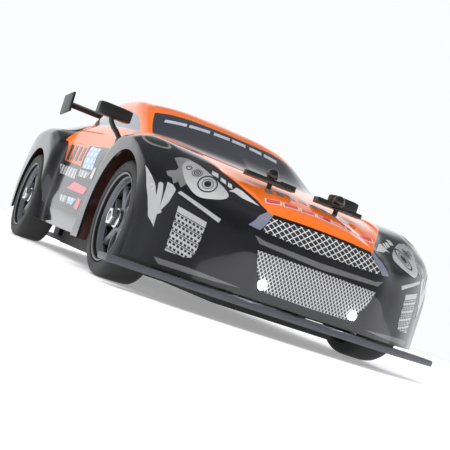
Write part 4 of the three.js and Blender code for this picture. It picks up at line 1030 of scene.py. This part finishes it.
for end, centre_y in (("front", FRONT_AXLE_Y), ("rear", REAR_AXLE_Y)):
    for side, sign in (("left", 1), ("right", -1)):
        body = "rear_axle" if end == "rear" else f"front_wheel_{side}"
        inner_half = [(r, -x) for r, x in reversed(TYRE_SECTION)]
        tyre = lathe_x(f"{end}_tyre_skin_{side}", TYRE_SECTION + inner_half, 128)
        rim_parts = [lathe_x("barrel", RIM_SECTION, 128), lathe_x("hub", HUB_SECTION, 48)]
        for spoke in range(SPOKES):
            angle = spoke / SPOKES * 2 * math.pi + 0.18
            rim_parts += [spoke_arm("arm", angle, lean) for lean in (-1, 1)]
        rim = join_pieces(f"{end}_rim_cast_{side}", rim_parts)
        round_edges(rim, 0.18)
        nut_hex = add_primitive(
            "cylinder", "hex", (7.1 * MM, 0, 0), rotation=(0, math.pi / 2, 0),
            vertices=6, radius=4 * MM, depth=4.2 * MM)
        bore = add_primitive(
            "cylinder", "bore", (9.2 * MM, 0, 0), rotation=(0, math.pi / 2, 0),
            vertices=48, radius=2.2 * MM, depth=3 * MM)
        round_edges(nut_hex, 0.35, 3)
        cut_with(nut_hex, bore)
        flange = lathe_x("flange", FLANGE_SECTION, 64)
        nut = join_pieces(f"{end}_nut_turned_{side}", [nut_hex, flange])
        for made in (tyre, rim, nut):
            place_wheel_piece(made, sign, centre_y)
        finish_piece(tyre, tyre_rubber, body, "tyre_rubber", f"{end}_tyre_{side}", degrees=25)
        finish_piece(rim, rim_gunmetal, body, "rim_gunmetal", f"{end}_rim_{side}", degrees=30)
        # The deep inside of the barrel and the grooves of the lip get a flat black as painted shade, where
        # the rim shades itself.
        rim.data.materials.append(barrel_painted_shade)
        hub_x = sum(c.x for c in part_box(f"{end}_tyre_{side}")) / 2
        for polygon in rim.data.polygons:
            radius = math.hypot(polygon.center.y - centre_y, polygon.center.z - AXLE_Z)
            deep = radius > 16.6 * MM and abs(polygon.center.x) < abs(hub_x) + 3.0 * MM
            groove = radius > 19.72 * MM or 18.35 * MM < radius < 18.8 * MM
            if deep or groove:
                polygon.material_index = 1
        finish_piece(nut, nut_chrome, body, "nut_chrome", f"{end}_wheel_nut_{side}", degrees=30)

# ---- Front splitter ----
# A flat blade of dark moulded plastic under the nose, fixed to the chassis, with rounded edges.
satin_black = new_material("satin_black", Roughness=0.38)
satin_cloud = noise(satin_black, 0.008, 5.0)
to_shader(satin_black, "Base Color", mix(satin_black, satin_cloud, grey(0.016), grey(0.028)))
to_shader(satin_black, "Roughness", spread(satin_black, satin_cloud, 0.3, 0.45))
add_bump(satin_black, noise(satin_black, 0.0015, 4.0), 0.15, 0.0001)
splitter_plastic = new_material("splitter_plastic", Roughness=0.4)
splitter_cloud = noise(splitter_plastic, 0.01, 5.0)
to_shader(splitter_plastic, "Base Color", mix(
    splitter_plastic, splitter_cloud, (0.06, 0.062, 0.075, 1), (0.10, 0.102, 0.118, 1)))
to_shader(splitter_plastic, "Roughness", spread(splitter_plastic, splitter_cloud, 0.32, 0.48))
low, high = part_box("front_splitter")
half_outline = [
    (0, -147.4), (14, -147.1), (28, -146.5), (40, -144.5), (52, -141.4), (61, -137.9), (70, -133.9),
    (76, -131.6), (80.9, -129.6), (80.9, -117.1), (60, -121), (28, -121), (0, -121),
]
outline = half_outline + [(-x, y) for x, y in reversed(half_outline[1:-1])]
splitter_points = [(x * MM, y * MM, low.z) for x, y in outline]
splitter = mesh_object("splitter_blade", splitter_points, [tuple(range(len(outline)))])
thick = splitter.modifiers.new("thick", "SOLIDIFY")
thick.thickness = high.z - low.z
thick.offset = 1
apply_modifiers(splitter)
settle(splitter)
splitter_middle = (low.z + high.z) / 2
heights = [v.co.z for v in splitter.data.vertices]
splitter.data.transform(Matrix.Translation((0, 0, splitter_middle - (min(heights) + max(heights)) / 2)))
round_edges(splitter, 0.7, 3)
finish_piece(splitter, splitter_plastic, "root", "trim_black", "front_splitter")

# ---- Headlights ----
# Two clear bulbs with flat flanges, pushed through the lower grille from inside, lit white.
led_lens = new_material("led_lens", Roughness=0.12, Transmission_Weight=0.3, Coat_Weight=1.0)
glow = noise(led_lens, 0.002, 3.0)
to_shader(led_lens, "Base Color", mix(led_lens, glow, (0.86, 0.9, 1, 1), (0.96, 0.98, 1, 1)))
to_shader(led_lens, "Emission Color", mix(led_lens, glow, (0.92, 0.96, 1, 1), (1, 1, 1, 1)))
led_lens.node_tree.nodes["Principled BSDF"].inputs["Emission Strength"].default_value = 26
BULB_SHARE = 0.94  # of the flange's radius


def unite(made, *others):
    """Fuses other meshes onto one, and removes them."""
    for other in others:
        union = made.modifiers.new("join", "BOOLEAN")
        union.operation = "UNION"
        union.object = other
    apply_modifiers(made)
    for other in others:
        bpy.data.objects.remove(other)


for side in ("left", "right"):
    low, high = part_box(f"headlight_led_{side}")
    x, z = (low.x + high.x) / 2, (low.z + high.z) / 2
    radius = (high.x - low.x) / 2
    barrel = add_primitive(
        "cylinder", "bulb", (x, (low.y + radius + high.y) / 2, z), rotation=(math.pi / 2, 0, 0),
        vertices=48, radius=radius * BULB_SHARE, depth=high.y - low.y - radius)
    dome = add_primitive(
        "uv_sphere", "dome", (x, low.y + radius, z),
        segments=48, ring_count=24, radius=radius * BULB_SHARE)
    ring = add_primitive(
        "cylinder", "ring", (x, high.y - 0.6 * MM, z), rotation=(math.pi / 2, 0, 0),
        vertices=48, radius=radius, depth=1.2 * MM)
    unite(barrel, dome, ring)
    barrel.name = f"headlight_bulb_{side}"
    finish_piece(barrel, led_lens, "shell", "led_lens", f"headlight_led_{side}")

# ---- Body clips ----
# Moulded straps that lock the shell onto its posts, each with a thicker block at its inner end and
# a ball to pull it by. The front ones also have a row of small holes.
clip_plastic = new_material("clip_plastic", Roughness=0.25, Coat_Weight=0.4)
clip_cloud = noise(clip_plastic, 0.004, 5.0)
to_shader(clip_plastic, "Base Color", mix(clip_plastic, clip_cloud, grey(0.010), grey(0.022)))
to_shader(clip_plastic, "Roughness", spread(clip_plastic, clip_cloud, 0.18, 0.36))


STRAP_THIN_SHARE = 0.78  # of the thickness of the block
REAR_BALL_RADIUS = 2.7 * MM


def strap(name, low, high, sign, block_share, holes):
    """A strap with round ends from the inner to the outer end of a box, thicker at its inner end."""
    length, width = high.x - low.x, high.y - low.y
    middle_y = (low.y + high.y) / 2
    ends = [(low.x + width / 2, middle_y), (high.x - width / 2, middle_y)]
    if sign > 0:
        inner, outer = ends
    else:
        outer, inner = ends
    thickness = high.z - low.z
    thin = thickness * STRAP_THIN_SHARE
    body = add_primitive(
        "cube", name, ((inner[0] + outer[0]) / 2, middle_y, low.z + thin / 2), size=1,
        scale=(abs(outer[0] - inner[0]), width * 0.94, thin))
    cap = add_primitive(
        "cylinder", "cap", (outer[0], middle_y, low.z + thin / 2), vertices=32,
        radius=width * 0.47, depth=thin)
    block_x = inner[0] + sign * length * block_share / 2 - sign * width / 2
    block = add_primitive(
        "cube", "block", (block_x, middle_y, low.z + thickness * 0.5), size=1,
        scale=(length * block_share, width, thickness))
    unite(body, cap, block)
    cutters = [
        add_primitive("cylinder", "hole", (x, middle_y, low.z), vertices=24, radius=0.85 * MM, depth=10 * MM)
        for x in holes
    ]
    if cutters:
        cut_with(body, *cutters)
    settle(body, 0.000001)
    round_edges(body, 0.18, 2)
    return body


for side, sign in (("left", 1), ("right", -1)):
    low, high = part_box(f"clip_plate_{side}")
    low.z -= 0.5 * MM
    high.z += 0.6 * MM
    knob_low, knob_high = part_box(f"clip_knob_{side}")
    knob_x = (knob_low.x + knob_high.x) / 2
    holes = [knob_x + sign * reach * MM for reach in (5.5, 8.2, 10.9)]
    plate = strap(f"clip_strap_{side}", low, high, sign, 0.30, holes)
    finish_piece(plate, clip_plastic, f"clip_{side}", "trim_black", f"clip_plate_{side}")
    knob_y = (knob_low.y + knob_high.y) / 2
    knob_radius = (knob_high.x - knob_low.x) / 2
    ball = add_primitive(
        "uv_sphere", f"clip_ball_{side}", (knob_x, knob_y, knob_high.z - knob_radius),
        segments=48, ring_count=32, radius=knob_radius)
    foot = add_primitive(
        "cube", "below", (knob_x, knob_y, knob_low.z - 5 * MM), size=1, scale=(0.02, 0.02, 10 * MM))
    cut_with(ball, foot)
    finish_piece(ball, clip_plastic, f"clip_{side}", "trim_black", f"clip_knob_{side}")
    low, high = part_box(f"rear_clip_{side}")
    plate_high = Vector((high.x, high.y - 0.5 * MM, low.z + 1.5 * MM))
    plate_low = Vector((low.x, low.y + 0.5 * MM, low.z))
    rear_strap = strap("strap", plate_low, plate_high, sign, 0.5, [])
    rear_ball = add_primitive(
        "uv_sphere", "ball", (sign * 20.0 * MM, (low.y + high.y) / 2, high.z - REAR_BALL_RADIUS),
        segments=48, ring_count=32, radius=REAR_BALL_RADIUS)
    rear_piece = join_pieces(f"rear_clip_moulded_{side}", [rear_strap, rear_ball])
    finish_piece(rear_piece, clip_plastic, f"rear_clip_{side}", "trim_black", f"rear_clip_{side}")

# ---- Wing ----
# A foil that rises to the back, on two stays, with an end plate at each tip, all in black plastic.


def foil_point(low, high, t, drop_mm, rise_mm, bulge_mm):
    """A point of the foil's outline, from its front edge (t is 0) to its back edge (t is 1)."""
    lift = 4 * t * (1 - t)
    return (low.y + t * (high.y - low.y), high.z - drop_mm * MM + rise_mm * MM * t + bulge_mm * MM * lift)


low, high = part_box("wing_blade")
chord = [foil_point(low, high, t, 1.2, 2.6, 0.5) for t in np.linspace(0, 1, 15)]
chord += [foil_point(low, high, t, 3.9, 2.4, -0.4) for t in np.linspace(1, 0, 15)]
wing = loft("wing_foil", [[(x, y, z) for y, z in chord] for x in np.linspace(low.x, high.x, 9)])
round_edges(wing, 0.3, 2, 50)
stays = []
for sign in (-1, 1):
    stays.append(add_primitive(
        "cube", "stay", (sign * 30.1 * MM, 110.75 * MM, (low.z + high.z - 1.2 * MM) / 2), size=1,
        scale=(2.2 * MM, 5.5 * MM, high.z - 1.2 * MM - low.z)))
    round_edges(stays[-1], 0.3)
wing = join_pieces("wing_foil", [wing, *stays])
finish_piece(wing, satin_black, "shell", "trim_black", "wing_blade")
for side, sign in (("left", 1), ("right", -1)):
    low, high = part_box(f"wing_end_plate_{side}")
    plate_outline = [(91, 83), (113, 81), (114.6, 94), (93.7, 95.5)]
    rings = [[(x, y * MM, z * MM) for y, z in plate_outline] for x in (low.x, high.x)]
    plate = loft(f"wing_end_{side}", rings)
    corners = plate.modifiers.new("corners", "BEVEL")
    corners.affect = "EDGES"
    corners.width = 0.5 * MM
    corners.segments = 3
    apply_modifiers(plate)
    finish_piece(plate, satin_black, "shell", "trim_black", f"wing_end_plate_{side}")

# ---- Mirrors ----
# Wide flat housings on bent stalks, each with a foot glued below the side window.
for side, sign in (("left", 1), ("right", -1)):
    low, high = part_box(f"mirror_{side}")
    y = (low.y + high.y) / 2
    rings = []
    for t in np.linspace(0, 1, 9):
        x = (61 + 17 * t) * MM
        swell = (1 - (2 * t - 1) ** 8) * 0.12 + 0.88
        half_y, half_z = 3.35 * MM * swell, 3.25 * MM * swell
        section = [(math.cos(a), math.sin(a)) for a in np.linspace(0, 2 * math.pi, 24, endpoint=False)]
        rings.append([(
            sign * x,
            y + half_y * math.copysign(abs(c) ** 0.35, c),
            75.75 * MM + half_z * math.copysign(abs(s) ** 0.35, s)) for c, s in section])
    housing = loft("housing", rings)
    round_edges(housing, 0.3, 2, 50)
    foot_z = low.z + 2.1 * MM
    near = 62.2
    route = [
        (near, 64.0), (near + 1.6, 65.6), (near + 3.2, 67.2), (67.6, 68.9), (69.4, 71.0), (70.4, 73.6),
        (70.8, 75.5),
    ]
    stalk_rings = []
    for i, (x, z) in enumerate(route):
        ahead = route[min(i + 1, len(route) - 1)]
        behind = route[max(i - 1, 0)]
        way = Vector((ahead[0] - behind[0], 0, ahead[1] - behind[1])).normalized()
        across = Vector((way.z, 0, -way.x))
        ring = []
        for a in np.linspace(0, 2 * math.pi, 16, endpoint=False):
            p = Vector((x, y / MM, z)) + across * (1.25 * math.cos(a)) + Vector((0, 1.45 * math.sin(a), 0))
            ring.append((sign * p.x * MM, p.y * MM, p.z * MM))
        stalk_rings.append(ring)
    stalk = loft("stalk", stalk_rings)
    foot = add_primitive(
        "cube", "foot", (sign * 62.9 * MM, y, foot_z), size=1, scale=(1.6 * MM, 6.2 * MM, 4.0 * MM))
    round_edges(foot, 0.3)
    mirror = join_pieces(f"mirror_moulded_{side}", [housing, stalk, foot])
    finish_piece(mirror, satin_black, "shell", "trim_black", f"mirror_{side}")

# ---- Chassis and running gear ----
# The parts under the shell: the moulded tub, arms, posts and gear housings in black nylon, steel
# axles and gears, a brass pinion, the motor, the battery, the circuit board and the servo.


def worn(name, dark, light, roughness, size, metallic=0.0, bump=0.0):
    """A material that wanders between two colours, with its roughness following them."""
    material = new_material(name, Metallic=metallic)
    cloud = noise(material, size, 4.0)
    to_shader(material, "Base Color", mix(material, cloud, dark, light))
    to_shader(material, "Roughness", spread(material, cloud, *roughness))
    if bump:
        add_bump(material, noise(material, size / 8, 4.0), bump, 0.0001)
    return material


tub_nylon = worn("tub_nylon", grey(0.012), grey(0.024), (0.4, 0.6), 0.006, bump=0.3)
gear_steel = worn("gear_steel", grey(0.45), grey(0.6), (0.22, 0.4), 0.004, metallic=1.0)
pinion_brass = worn(
    "pinion_brass", (0.66, 0.45, 0.18, 1), (0.8, 0.58, 0.26, 1), (0.22, 0.4), 0.003, metallic=1.0)
board_green = worn("board_green", (0.01, 0.10, 0.05, 1), (0.02, 0.16, 0.08, 1), (0.3, 0.45), 0.003)
battery_wrap = worn("battery_wrap", (0.02, 0.06, 0.20, 1), (0.04, 0.09, 0.28, 1), (0.2, 0.35), 0.01, bump=0.2)
servo_case = worn("servo_case", grey(0.02), grey(0.035), (0.35, 0.5), 0.004, bump=0.2)
finishes = {
    "tub_nylon": tub_nylon, "gear_steel": gear_steel, "pinion_brass": pinion_brass,
    "board_green": board_green, "battery_wrap": battery_wrap, "servo_case": servo_case,
    "trim_black": satin_black,
}
for subpart in frame["record"]["subparts"]:
    node = frame["nodes"][subpart["node"]]
    if not node.hide_render:
        node.data.materials.clear()
        node.data.materials.append(finishes[subpart["material_slot"]])
